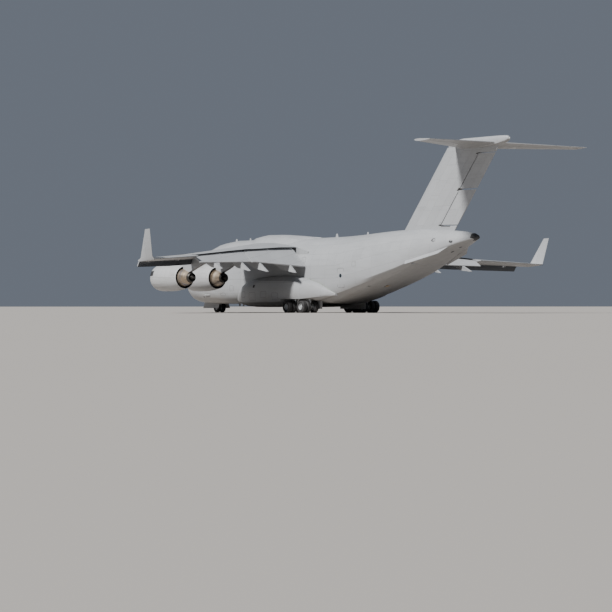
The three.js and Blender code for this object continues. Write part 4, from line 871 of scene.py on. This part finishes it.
def make_gear_details():
    """Torque links, hoses and brake lines on the main legs, which have no joint of their own."""
    for side, sign in SIDES.items():
        piece = Piece()
        y = sign * MAIN_POST_Y
        for row, s in MAIN_AXLES.items():
            way = 1 if row == "front" else -1
            knees = (at(s + way * d, y, z) for d, z in ((0.14, 1.35), (0.42, 1.02), (0.15, 0.76)))
            torque_link(piece, *knees, 0.03, 0.014)
            for turn in (-1, 1):
                bends = ((0.14, 0.06, 1.66), (0.17, 0.09, 1.2), (0.19, 0.1, 0.9), (0.17, 0.13, 0.72))
                piece.rod([at(s - way * d, y + turn * out, z) for d, out, z in bends], 0.008, 6, 1)
            piece.rod([at(s, y, 0.83), at(s, y, 1.3)], 0.068, 24, 2)
        piece.made("gear_details_" + side, "gear seal chrome", slot="gear_paint")


def make_nose_gear_details():
    """Steering rams and lamps on the fixed leg, and a torque link on the part that steers."""
    s = NOSE_AXLE_S
    fixed = Piece()
    for sign in (-1, 1):
        fixed.rod([at(s - 0.2, sign * 0.2, 1.38), at(s + 0.16, sign * 0.2, 1.38)], 0.032, 12)
        lens = at(s - 0.22, sign * 0.19, 1.62)
        fixed.stud(lens, AHEAD, 0, 0.05, 0.048, 20)
        fixed.stud(lens, AHEAD, 0.05, 0.056, 0.043, 20, 1)
        fixed.rod([at(s, 0, 1.6), lens], 0.014, 8)
    fixed.made("nose_gear_lamps", "gear white", slot="gear_paint")
    moving = Piece()
    torque_link(moving, at(s + 0.12, 0, 1.18), at(s + 0.34, 0, 0.92), at(s + 0.17, 0, 0.68), 0.022, 0.012)
    moving.made("nose_gear_torque_link", "gear", "nose_gear_fork", "gear_paint")


# Steps on the crew door: the stations of their two side plates, and the levels of the steps.
STEP_ENDS = (7.46, 8.14)
STEP_LEVELS = spaced(2.05, 3.3, 5)
STEP_DEEP = 0.065
STEP_THICK = 0.012


def make_crew_steps():
    """Steps between two side plates, on the inner face of the crew door."""
    door = tree_of("crew_door")
    piece = Piece()

    def plate(places, depth, paint):
        roots = [cast(door, at(s, 1.5, z), at(s, 4, z))[0] + LEFT * 0.004 for s, z in places]
        piece.add(slab([[root, root - LEFT * STEP_DEEP] for root in roots], depth), paint)

    for z in STEP_LEVELS:
        plate([(s, z) for s in STEP_ENDS], UP * -STEP_THICK, 1)
    for s in STEP_ENDS:
        plate([(s, z) for z in STEP_LEVELS], AHEAD * STEP_THICK, 0)
    piece.made("crew_door_steps", "frames lip", "crew_door", "gear_paint", bevel=0.001)


# Cockpit windows

PANE_SHIFT = 0.055  # how far the outer panes stand outside the glass that lines the openings
WINDOW_CORNERS = at(5.5, -3.4, 4.6), at(1.7, 3.4, 5.66)
WIPER = ((0.14, 4.62), (0.5, 4.66), (1.0, 4.76))


def outward(place, direction):
    """How far a direction points away from the body's middle line, from -1 to 1."""
    return direction.dot(Vector((0, place.y, place.z - BODY_AXIS_Z)).normalized())


def joined_mesh(node):
    """A working copy of a CAD node's mesh, with its split corners joined."""
    work = bmesh.new()
    work.from_mesh(NODES[node].data)
    bmesh.ops.remove_doubles(work, verts=work.verts, dist=2e-5)
    return work


def make_panes():
    """Outer panes just below the skin: the outer side of the cab glass, moved out and given a thickness."""
    work = joined_mesh("windscreen")
    inner = [f for f in work.faces if outward(f.calc_center_median(), f.normal) < 0.3]
    bmesh.ops.delete(work, geom=inner, context="FACES")
    work.normal_update()
    shifts = [(v, v.normal * PANE_SHIFT) for v in work.verts]
    for vertex, shift in shifts:
        vertex.co += shift
    work.verts.index_update()
    panes = Piece()
    panes.add(([v.co.copy() for v in work.verts], [tuple(v.index for v in f.verts) for f in work.faces]))
    work.free()
    piece = panes.made("window_panes", "pane", slot="cab_glass")
    piece.modifiers.new("thickness", "SOLIDIFY").thickness = 0.008


def opening_edges(node, low, high):
    """The outer edges of the openings cut through a node's wall, between two corners."""
    work = joined_mesh(node)
    edges = []
    for edge in work.edges:
        start, end = (v.co.copy() for v in edge.verts)
        middle = (start + end) / 2
        inside = all(low[i] < middle[i] < high[i] for i in range(3))
        if inside and len(edge.link_faces) == 2 and edge.calc_face_angle() > radians(40):
            if max(outward(middle, f.normal) for f in edge.link_faces) > 0.35:
                edges.append((start, end))
    work.free()
    return edges


def make_windows():
    """Panes, dark sealant round every opening, and two wipers."""
    make_panes()
    seals = Piece()
    for edge in opening_edges("fuselage_forward", *WINDOW_CORNERS):
        seals.rod(edge, 0.008, 6)
    for sign in SIDES.values():
        hits = [SKIN.ray_cast(at(-2, sign * y, z), -AHEAD)[0] for y, z in WIPER]
        seals.rod([hit + Vector((0.012, 0, 0.006)) for hit in hits], 0.006, 6)
    seals.made("window_seals", "seal", slot="cab_glass")


# Small things on the skin

# The side doors behind the pods, which stay shut: station and level of their middle, half sizes and corner
# radius, and where their window is.
SIDE_DOOR = (31.525, 3.525, 0.525, 0.975, 0.2)
SIDE_DOOR_WINDOW = (31.52, 3.75)
# Vents: a place on the skin, seen from the side or from below, with the half length and half width.
SIDE_VENTS = ((43.9, 7.07, 0.26, 0.16), (45.95, 6.9, 0.22, 0.15))
BELLY_VENTS = (
    (46.0, 0.05, 0.2, 0.14), (44.75, 0.0, 0.24, 0.15), (13.4, -0.95, 0.14, 0.09), (16.5, -1.2, 0.16, 0.09),
    (17.7, -0.95, 0.16, 0.09), (20.5, -1.05, 0.12, 0.12), (12.2, 0.9, 0.12, 0.08), (9.2, 0.7, 0.1, 0.1),
)
# Hatches and access panels, in the same way, on the crown, the body's sides and the pods.
ROOF_HATCHES = ((7.4, 0.0, 0.36, 0.28), (29.5, 0.0, 0.36, 0.28), (36.0, 0.0, 0.36, 0.28))
SIDE_PANELS = (
    (11.0, 4.3, 0.32, 0.4), (12.6, 2.6, 0.35, 0.28), (25.2, 5.4, 0.3, 0.3), (33.6, 4.9, 0.3, 0.22),
    (16.5, 1.9, 0.45, 0.3), (18.6, 1.7, 0.6, 0.4), (20.7, 1.9, 0.5, 0.3), (22.7, 1.7, 0.5, 0.36),
)
POD_OVAL = (10.9, 1.95, 0.5, 0.17)
# Tank access covers: chord shares, places out from the middle and half sizes, clear of the pylons.
TANK_COVER_SHARES = (0.22, 0.44)
TANK_COVER_PLACES = spaced(5.0, 22.0, 17)
TANK_COVER_LONG, TANK_COVER_WIDE = 0.16, 0.27
PYLON_CLEAR = 0.75
FUEL_CAP_SHARE = 0.35
FUEL_CAP_PLACES = (6.2, 12.0, 17.0)


def oval(a, b, long_half, wide_half, sides):
    """An oval, as pairs."""
    return [(a + long_half * cos(t), b + wide_half * sin(t)) for t in turns(sides)]


def rounded(a, b, long_half, wide_half, corner, steps=5):
    """A rectangle with rounded corners, as pairs, from its middle and half sizes."""
    path = []
    for quarter, (way_a, way_b) in enumerate(((1, 1), (-1, 1), (-1, -1), (1, -1))):
        for turn in spaced(pi / 2 * quarter, pi / 2 * (quarter + 1), steps):
            path.append((a + way_a * (long_half - corner) + corner * cos(turn),
                         b + way_b * (wide_half - corner) + corner * sin(turn)))
    return path


def ringed(piece, place_of, path, radius=0.0045):
    """A thin dark seam along a closed path on a surface."""
    points = []
    for (a0, b0), (a1, b1) in zip(path, path[1:] + path[:1]):
        steps = max(1, round(hypot(a1 - a0, b1 - b0) / 0.12))
        spots = zip(spaced(a0, a1, steps)[:-1], spaced(b0, b1, steps))
        points += [place_of(*spot)[0] for spot in spots]
    piece.rod(points + points[:1], radius, 5)


def make_door_outlines():
    """Dark seals round the side doors at the back, with a small window in each."""
    seals = Piece()
    for sign in SIDES.values():
        path = [on_side(sign, s, z, 0.001)[0] for s, z in rounded(*SIDE_DOOR)]
        seals.rod(path + path[:1], 0.006, 6)
        middle, out = on_side(sign, *SIDE_DOOR_WINDOW, 0.003)
        seals.stud(middle, out, 0, 0.004, 0.085, 28, 1)
        seals.stud(middle, out, -0.01, 0.002, 0.1, 28)
    seals.made("side_door_seals", "seal pane")


def add_vent(piece, place_of, a, b, long_half, wide_half):
    """An oval vent with a raised rim, and a near-black plug in its middle as painted shade of its opening."""
    rim = [place_of(*pair)[0] for pair in oval(a, b, long_half, wide_half, 28)]
    inner = [place_of(*pair)[0] for pair in oval(a, b, long_half * 0.96, wide_half * 0.94, 28)]
    out = place_of(a, b)[1]
    piece.rod(rim + rim[:1], 0.009, 6)
    # The near-black plug is painted shade of the vent's opening.
    piece.add(loft([[p + out * rise for p in inner] for rise in (-0.006, 0.001)]), 1)


def make_vents():
    """Oval vents on the tail's sides and along the belly."""
    piece = Piece()
    for sign in SIDES.values():
        for row in SIDE_VENTS:
            add_vent(piece, partial(on_side, sign, lift=0.002), *row)
    for row in BELLY_VENTS:
        add_vent(piece, partial(on_belly, lift=0.002), *row)
    piece.made("vents", "body dark")


def make_skin_seams():
    """Seams round hatches and access panels of the fuselage and side pods."""
    seams = Piece()
    for row in ROOF_HATCHES:
        ringed(seams, on_crown, rounded(*row, 0.12))
    for sign in SIDES.values():
        for row in SIDE_PANELS:
            ringed(seams, partial(on_side, sign), rounded(*row, 0.08))
        ringed(seams, partial(on_side, sign), oval(*POD_OVAL, 24))
    seams.made("skin_seams", "seal")


def make_wing_seams():
    """Fuel caps above the wings, and tank access covers below."""
    seams = Piece()
    for sign in SIDES.values():
        for share in TANK_COVER_SHARES:
            for y in TANK_COVER_PLACES:
                if min(abs(y - abs(engine["y"])) for engine in ENGINES.values()) > PYLON_CLEAR:
                    long_half = TANK_COVER_LONG / (wing_station(y, 1.0) - wing_station(y, 0.0))
                    cover = [(a, sign * b) for a, b in oval(share, y, long_half, TANK_COVER_WIDE, 20)]
                    ringed(seams, on_wing_under, cover, 0.0022)
        for y in FUEL_CAP_PLACES:
            seams.stud(*on_wing_top(FUEL_CAP_SHARE, sign * y), -0.01, 0.004, 0.05, 20, 1)
    seams.made("wing_seams", "seal lip")


# Spoiler panels: their two ends out from the middle, and the chord shares that they cover. The first is the
# fixed plate at the wing's root. Each back edge reaches over the flap, from the root's share to the tip's
# share, and droops with the wing's upper line.
SPOILERS = ((2.75, 3.69), (3.75, 7.3), (7.36, 10.96), (11.02, 14.6), (14.66, 18.2))
SPOILER_FRONT = 0.57
SPOILER_SKIN_END = 0.675
SPOILER_BACKS = (0.805, 0.82)
SPOILER_DROOP = 0.03
SPOILER_LIFT = 0.012
SPOILER_THICK = 0.006


def spoiler_row(y, back_share):
    """Points of a spoiler panel from front to back, at one distance out."""
    front, out = on_wing_top(SPOILER_FRONT, y)
    skin_end, _ = on_wing_top(SPOILER_SKIN_END, y)
    chord = K * (wing_station(y, 1.0) - wing_station(y, 0.0))
    lift = out * SPOILER_LIFT
    row = [front + out * 0.002, front.lerp(skin_end, 0.12) + lift, skin_end + lift]
    for share in spaced(SPOILER_SKIN_END, back_share, 3)[1:]:
        beyond = share - SPOILER_SKIN_END
        reach = (skin_end - front) * (beyond / (SPOILER_SKIN_END - SPOILER_FRONT))
        row.append(skin_end + reach + lift - UP * (SPOILER_DROOP * beyond ** 2 * chord))
    return row


def make_spoilers():
    """Spoiler panels on the wings' upper skin, which reach over the flaps, with a near-black sheet under them
    as painted shade.
    """
    panels = Piece()
    root, tip = SPOILERS[0][0], SPOILERS[-1][1]
    for sign in SIDES.values():
        for near, far in SPOILERS:
            grid = []
            for y in spaced(near, far, 9):
                share = SPOILER_BACKS[0] + (SPOILER_BACKS[1] - SPOILER_BACKS[0]) * (y - root) / (tip - root)
                grid.append(spoiler_row(sign * y, share))
            panels.add(slab(grid, UP * -SPOILER_THICK))
            # Painted shade: a near-black sheet under the back of each panel.
            painted_shade_beneath = [[p - UP * SPOILER_THICK for p in row[2:]] for row in grid]
            panels.add(slab(painted_shade_beneath, UP * (-SPOILER_THICK / 2)), 1)
    panels.made("spoilers", "wing seal", bevel=0.0015)


# Patches, each by its place and half sizes: drains below, grilles on both sides and on the right side, at
# the fin's foot and on the aft door. The lamps under the tailplane are given by their places.
BELLY_PATCHES = ((20.84, -2.3, 0.32, 0.18), (22.3, -3.0, 0.32, 0.18))
SIDE_PATCHES = ((6.81, 1.7, 0.09, 0.07), (18.9, 2.75, 0.16, 0.14))
RIGHT_PATCH = (12.0, 2.45, 0.22, 0.2)
FIN_FOOT_PATCH = (44.0, 8.41, 0.6, 0.025)
DOOR_PATCH = (35.05, 0.14, 0.22, 0.17)
DOOR_LATCH = (35.1, 0.42, 0.32, 0.05)
TAIL_LAMPS = ((49.9, 4.05), (49.9, -3.35))


def make_patches():
    """Dark drains, grilles and sensors on the skin, and the lamps under the tailplane."""
    piece = Piece()
    for row in BELLY_PATCHES:
        piece.add(patch(on_belly, *row))
    for sign in SIDES.values():
        for row in SIDE_PATCHES:
            piece.add(patch(partial(on_side, sign), *row))
    piece.add(patch(partial(on_side, -1), *RIGHT_PATCH))
    tail = tree_of("tailplane")
    for s, y in TAIL_LAMPS:
        piece.stud(*cast(tail, at(s, y, 10), at(s, y, 20)), -0.02, 0.02, 0.09, 24, 1)
    foot = tree_of("fin")
    for sign in SIDES.values():
        def beside(a, b, sign=sign):
            return cast(foot, at(a, sign * 4, b), at(a, 0, b))
        piece.add(patch(beside, *FIN_FOOT_PATCH))
    piece.made("skin_patches", "dark gear")


def make_door_patch():
    """A tan sealant patch, and a near-black strip as painted shade of the latch slot, where the aft door
    meets the ramp.
    """
    door = tree_of("aft_cargo_door")

    def below(a, b):
        return cast(door, at(a, b, -2), at(a, b, 12))

    piece = Piece()
    piece.add(patch(below, *DOOR_PATCH), 1)
    # The near-black strip is painted shade of the latch slot.
    piece.add(patch(below, *DOOR_LATCH))
    piece.made("door_latch", "dark tan", "aft_cargo_door")


# Gap seals ahead of the moving surfaces: the fixed and moving nodes, if the gap runs upright, and its ends.
GAP_SEALS = (
    ("fin", "rudder_lower", True, 8.62, 11.78),
    ("fin", "rudder_upper", True, 12.07, 15.19),
    ("tailplane", "elevator_left", False, 0.92, 9.4),
    ("tailplane", "elevator_right", False, -0.92, -9.4),
    ("wing_left", "aileron_left", False, 18.7, 24.2),
    ("wing_right", "aileron_right", False, -18.7, -24.2),
)
SEAL_SHARE = 0.74  # how much of the gap a seal covers, from the fixed side
SEAL_STEP = 0.012


def gap_edges(fixed, moving, starts, run):
    """The last point of the fixed skin and the proudest point of the moving skin, met by rays going aft."""
    last, proudest, least = None, None, 1e9
    for start in starts:
        hit = fixed.ray_cast(start, run)[0]
        if hit is not None and proudest is None:
            last = hit
        hit, _, _, far = moving.ray_cast(start, run)
        if hit is not None and far < least:
            proudest, least = hit, far
    return last, proudest


def make_gap_seals():
    """Thin curved plates on the fixed skins, which cover most of the gap ahead of each moving surface."""
    piece = Piece()
    for fixed, moving, upright, start, end in GAP_SEALS:
        trees = tree_of(fixed), tree_of(moving)
        low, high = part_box(moving)
        middle = (low.z + high.z) / 2
        stations = [high.x + 0.5 - i * SEAL_STEP for i in range(int((high.x + 0.5 - low.x) / SEAL_STEP))]
        for way in (-1, 1):
            inside = (LEFT if upright else UP) * way
            grid = []
            for place in spaced(start * K, end * K, 24):
                across = (-way, place) if upright else (place, middle - way)
                last, proudest = gap_edges(*trees, [Vector((x, *across)) for x in stations], inside)
                if last is not None and proudest is not None:
                    front = last + (last - proudest).normalized() * 0.02
                    back = last.lerp(proudest, SEAL_SHARE)
                    grid.append([front.lerp(back, j / 3) - inside * 0.0015 for j in range(4)])
            piece.add(slab(grid, inside * 0.003))
    piece.made("gap_seals", "side")


# Blade antennas: the face they stand on, their place on it, length and height.
ANTENNAS = (
    (on_crown, 8.6, 0.0, 0.5, 0.34),
    (on_crown, 11.2, 0.0, 0.36, 0.26),
    (on_crown, 26.8, 0.35, 0.5, 0.36),
    (on_crown, 31.5, 0.0, 0.36, 0.3),
    (on_belly, 8.5, -0.5, 0.42, 0.3),
    (on_belly, 9.2, -0.5, 0.42, 0.3),
    (on_belly, 15.4, 0.4, 0.36, 0.24),
)
PROBES = ((2.35, 3.05), (2.6, 3.45))  # stations and levels


def make_antennas():
    """Blade antennas above and below, and the air data probes by the nose."""
    piece = Piece()
    for place_of, s, y, length, height in ANTENNAS:
        piece.add(swept_blade(*place_of(s, y), length * K, height * K))
    for sign in SIDES.values():
        for s, z in PROBES:
            root, out = on_side(sign, s, z)
            knee = root + out * 0.05
            piece.rod([root - out * 0.01, knee, knee + AHEAD * 0.03, knee + AHEAD * 0.13], 0.008, 10, 1)
    piece.made("antennas_and_probes", "side chrome")


WING_TIP_Y, WING_TIP_Z = 24.95, 5.08
CROWN_BEACON_S, BELLY_BEACON_S = 14.6, 11.0
TAIL_LIGHT_Z = 16.5


def make_lights():
    """The wing tip and tail lights, and the beacons above and below."""
    piece = Piece()
    for i, (side, sign) in enumerate(SIDES.items()):
        ends = (at(s, sign * WING_TIP_Y, WING_TIP_Z) for s in (20, 40))
        piece.stud(cast(tree_of("wing_" + side), *ends)[0], AHEAD, 0.012, -0.06, 0.022, 16, i)
    for root, out in (on_crown(CROWN_BEACON_S, 0), on_belly(BELLY_BEACON_S, 0)):
        piece.stud(root, out, -0.02, 0.03, 0.075, 24, 3)
        piece.stud(root, out, 0.03, 0.085, 0.05, 24)
    tail = cast(tree_of("tailplane"), at(60, 0, TAIL_LIGHT_Z), at(40, 0, TAIL_LIGHT_Z))[0]
    piece.stud(tail, AHEAD, 0.03, -0.004, 0.03, 16, 2)
    piece.made("lights", "red green white gear", slot="cab_glass")


# Static wicks: the body and node, if its edge is upright, and where they stand, in model metres out from the
# middle or up.
WICKS = (
    ("aileron_left", False, (9.6, 10.3, 11.0, 11.7)),
    ("aileron_right", False, (-9.6, -10.3, -11.0, -11.7)),
    ("elevator_left", False, (2.4, 3.2, 4.0, 4.6)),
    ("elevator_right", False, (-2.4, -3.2, -4.0, -4.6)),
    ("rudder_upper", True, (6.5, 6.9, 7.3)),
)
WICK_LENGTH = 0.09
WICK_TRIES = 80  # how many rays look for the edge at each place


def trailing_point(node, place, upright):
    """The aftmost point of a surface at a distance out, or at a level for an upright one."""
    tree = tree_of(node)
    low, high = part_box(node)
    hits = []
    for i in range(WICK_TRIES):
        share = (i + 0.5) / WICK_TRIES
        y = low.y + (high.y - low.y) * share if upright else place
        z = place if upright else low.z + (high.z - low.z) * share
        hits.append(tree.ray_cast(Vector((low.x - 1, y, z)), AHEAD)[0])
    return min((hit for hit in hits if hit is not None), key=lambda hit: hit.x)


def make_wicks():
    """Thin discharge wicks along the trailing edges."""
    for node, upright, places in WICKS:
        piece = Piece()
        for place in places:
            point = trailing_point(node, place, upright)
            reach = min(WICK_LENGTH, point.x - cad_low.x - 0.002)
            if reach > 0.02:
                piece.stud(point, AHEAD, 0.01, -reach, 0.0035, 6)
        piece.made("wicks_" + node, "seal", node, "tyre")


TAIL_MID = 7.24
# The tail cone's dark tip: station, half width, lowest and highest levels.
TAIL_CAP = (
    (47.95, 0.545, 6.95, 7.672), (48.25, 0.365, 7.03, 7.56), (48.52, 0.19, 7.1, 7.46),
    (48.6, 0.1, 7.18, 7.38), (48.62, 0.01, 7.27, 7.29),
)


def make_tail_cap():
    """The dark tip of the tail cone."""
    rings = []
    for s, half, low, high in TAIL_CAP:
        ring = []
        for turn in turns(28):
            reach = (high - TAIL_MID) if sin(turn) > 0 else (TAIL_MID - low)
            ring.append(at(s, half * cos(turn), TAIL_MID + reach * sin(turn)))
        rings.append(ring)
    cap = Piece()
    cap.add(loft(rings))
    cap.made("tail_cone_cap", "seal")


# Hold

HOLD_FROM, HOLD_TO = 7.3, 28.2
FLOOR_Z = 1.63
RAIL_PLACES = (-1.9, -0.75, 0.75, 1.9)
RAIL_HALF, RAIL_TOP = 0.09, 0.07  # half the width between a rail's edges, and their height over the floor
ROLLER_HALF, ROLLER_PITCH = 0.07, 0.3
TREAD_HALF = 2.1
# The first frame's station, how many there are and how far apart, and the same for the ramp's grip bars.
FIRST_FRAME_S, FRAME_COUNT, FRAME_PITCH = 10.2, 24, 0.98
FIRST_TREAD_S, TREAD_COUNT, TREAD_PITCH = 29.1, 16, 0.33


def make_hold():
    """Roller rails on the floor and frames along the walls."""
    rails = Piece()
    for y in RAIL_PLACES:
        for edge in (y - RAIL_HALF, y + RAIL_HALF):
            low = at(HOLD_TO, edge - 0.012, FLOOR_Z + 0.004)
            rails.add(box(low, at(HOLD_FROM, edge + 0.012, FLOOR_Z + RAIL_TOP)))
        for i in range(int((HOLD_TO - HOLD_FROM) / ROLLER_PITCH)):
            s = HOLD_FROM + ROLLER_PITCH * (i + 0.5)
            ends = (y - ROLLER_HALF, y + ROLLER_HALF)
            rails.rod([at(s, end, FLOOR_Z + 0.045) for end in ends], 0.013, 8, 1)
    rails.made("cargo_rails", "lip chrome", slot="floor_metal")
    frames = Piece()
    walls = tree_of(*BODY_SECTIONS)
    for i in range(FRAME_COUNT):
        path = []
        for turn in spaced(radians(-33), radians(213), 32):
            ray = Vector((0, cos(turn), sin(turn)))
            hit = walls.ray_cast(at(FIRST_FRAME_S + i * FRAME_PITCH, 0, 4.0), ray)[0]
            if hit is not None:
                path.append(hit - ray * 0.012)
        frames.rod(path, 0.02, 6)
    frames.made("hold_frames", "frames", slot="interior")


def make_ramp_treads():
    """Grip bars across the ramp's upper face."""
    ramp = tree_of("cargo_ramp")
    piece = Piece()
    for i in range(TREAD_COUNT):
        s = FIRST_TREAD_S + i * TREAD_PITCH
        ends = [cast(ramp, at(s, y, 6), at(s, y, 0), 0.004)[0] for y in (TREAD_HALF, -TREAD_HALF)]
        piece.rod(ends, 0.009, 6)
    piece.made("ramp_treads", "lip", "cargo_ramp", "floor_metal")


# Stage

FLOOR_TONE = (0.4, 0.375, 0.35)
FLOOR_REACH = 900.0
SKY_TONE = (0.72, 0.82, 1.0)
SUN_FROM = Vector((-0.25, 0.75, 0.8))


def make_stage():
    """A pale floor, a soft key light and an even sky."""
    graph = Graph("stage_floor", 0.85)
    graph.finish(graph.mix(graph.noise(0.15, detail=3), shade(FLOOR_TONE, 0.97), FLOOR_TONE))
    mesh = bpy.data.meshes.new("stage_floor")
    corners = [(x * FLOOR_REACH, y * FLOOR_REACH, 0) for x, y in ((-1, -1), (1, -1), (1, 1), (-1, 1))]
    mesh.from_pydata(corners, [], [(0, 1, 2, 3)])
    mesh.materials.append(graph.material)
    in_scene("stage_floor", mesh)

    sun = bpy.data.lights.new("key_light", "SUN")
    sun.energy = 6.0
    sun.angle = radians(9)
    sun.color = (1.0, 0.99, 0.97)
    key = in_scene("key_light", sun)
    key.rotation_mode = "QUATERNION"
    key.rotation_quaternion = SUN_FROM.to_track_quat("Z", "Y")

    world = bpy.data.worlds.new("studio")
    world.use_nodes = True
    back = world.node_tree.nodes["Background"]
    back.inputs["Color"].default_value = (*SKY_TONE, 1)
    back.inputs["Strength"].default_value = 0.2
    bpy.context.scene.world = world


def make_camera():
    """The photograph's view, level and at floor height."""
    data = bpy.data.cameras.new("camera")
    data.lens = CAMERA_LENS_MM
    data.sensor_width = 36.0
    data.clip_start = 1.0
    data.clip_end = 3000.0
    camera = in_scene("camera", data)
    camera.location = CAMERA_PLACE
    heading = radians(CAMERA_HEADING_DEG)
    camera.rotation_mode = "QUATERNION"
    camera.rotation_quaternion = Vector((cos(heading), sin(heading), 0)).to_track_quat("-Z", "Y")
    bpy.context.scene.camera = camera


make_camera()
make_stage()
dress_cad_nodes()
for engine_key, engine_row in ENGINES.items():
    make_engine(engine_key, engine_row)
make_wheels()
make_gear_details()
make_nose_gear_details()
make_crew_steps()
make_windows()
make_door_outlines()
make_vents()
make_skin_seams()
make_wing_seams()
make_spoilers()
make_patches()
make_door_patch()
make_gap_seals()
make_antennas()
make_lights()
make_wicks()
make_tail_cap()
make_hold()
make_ramp_treads()
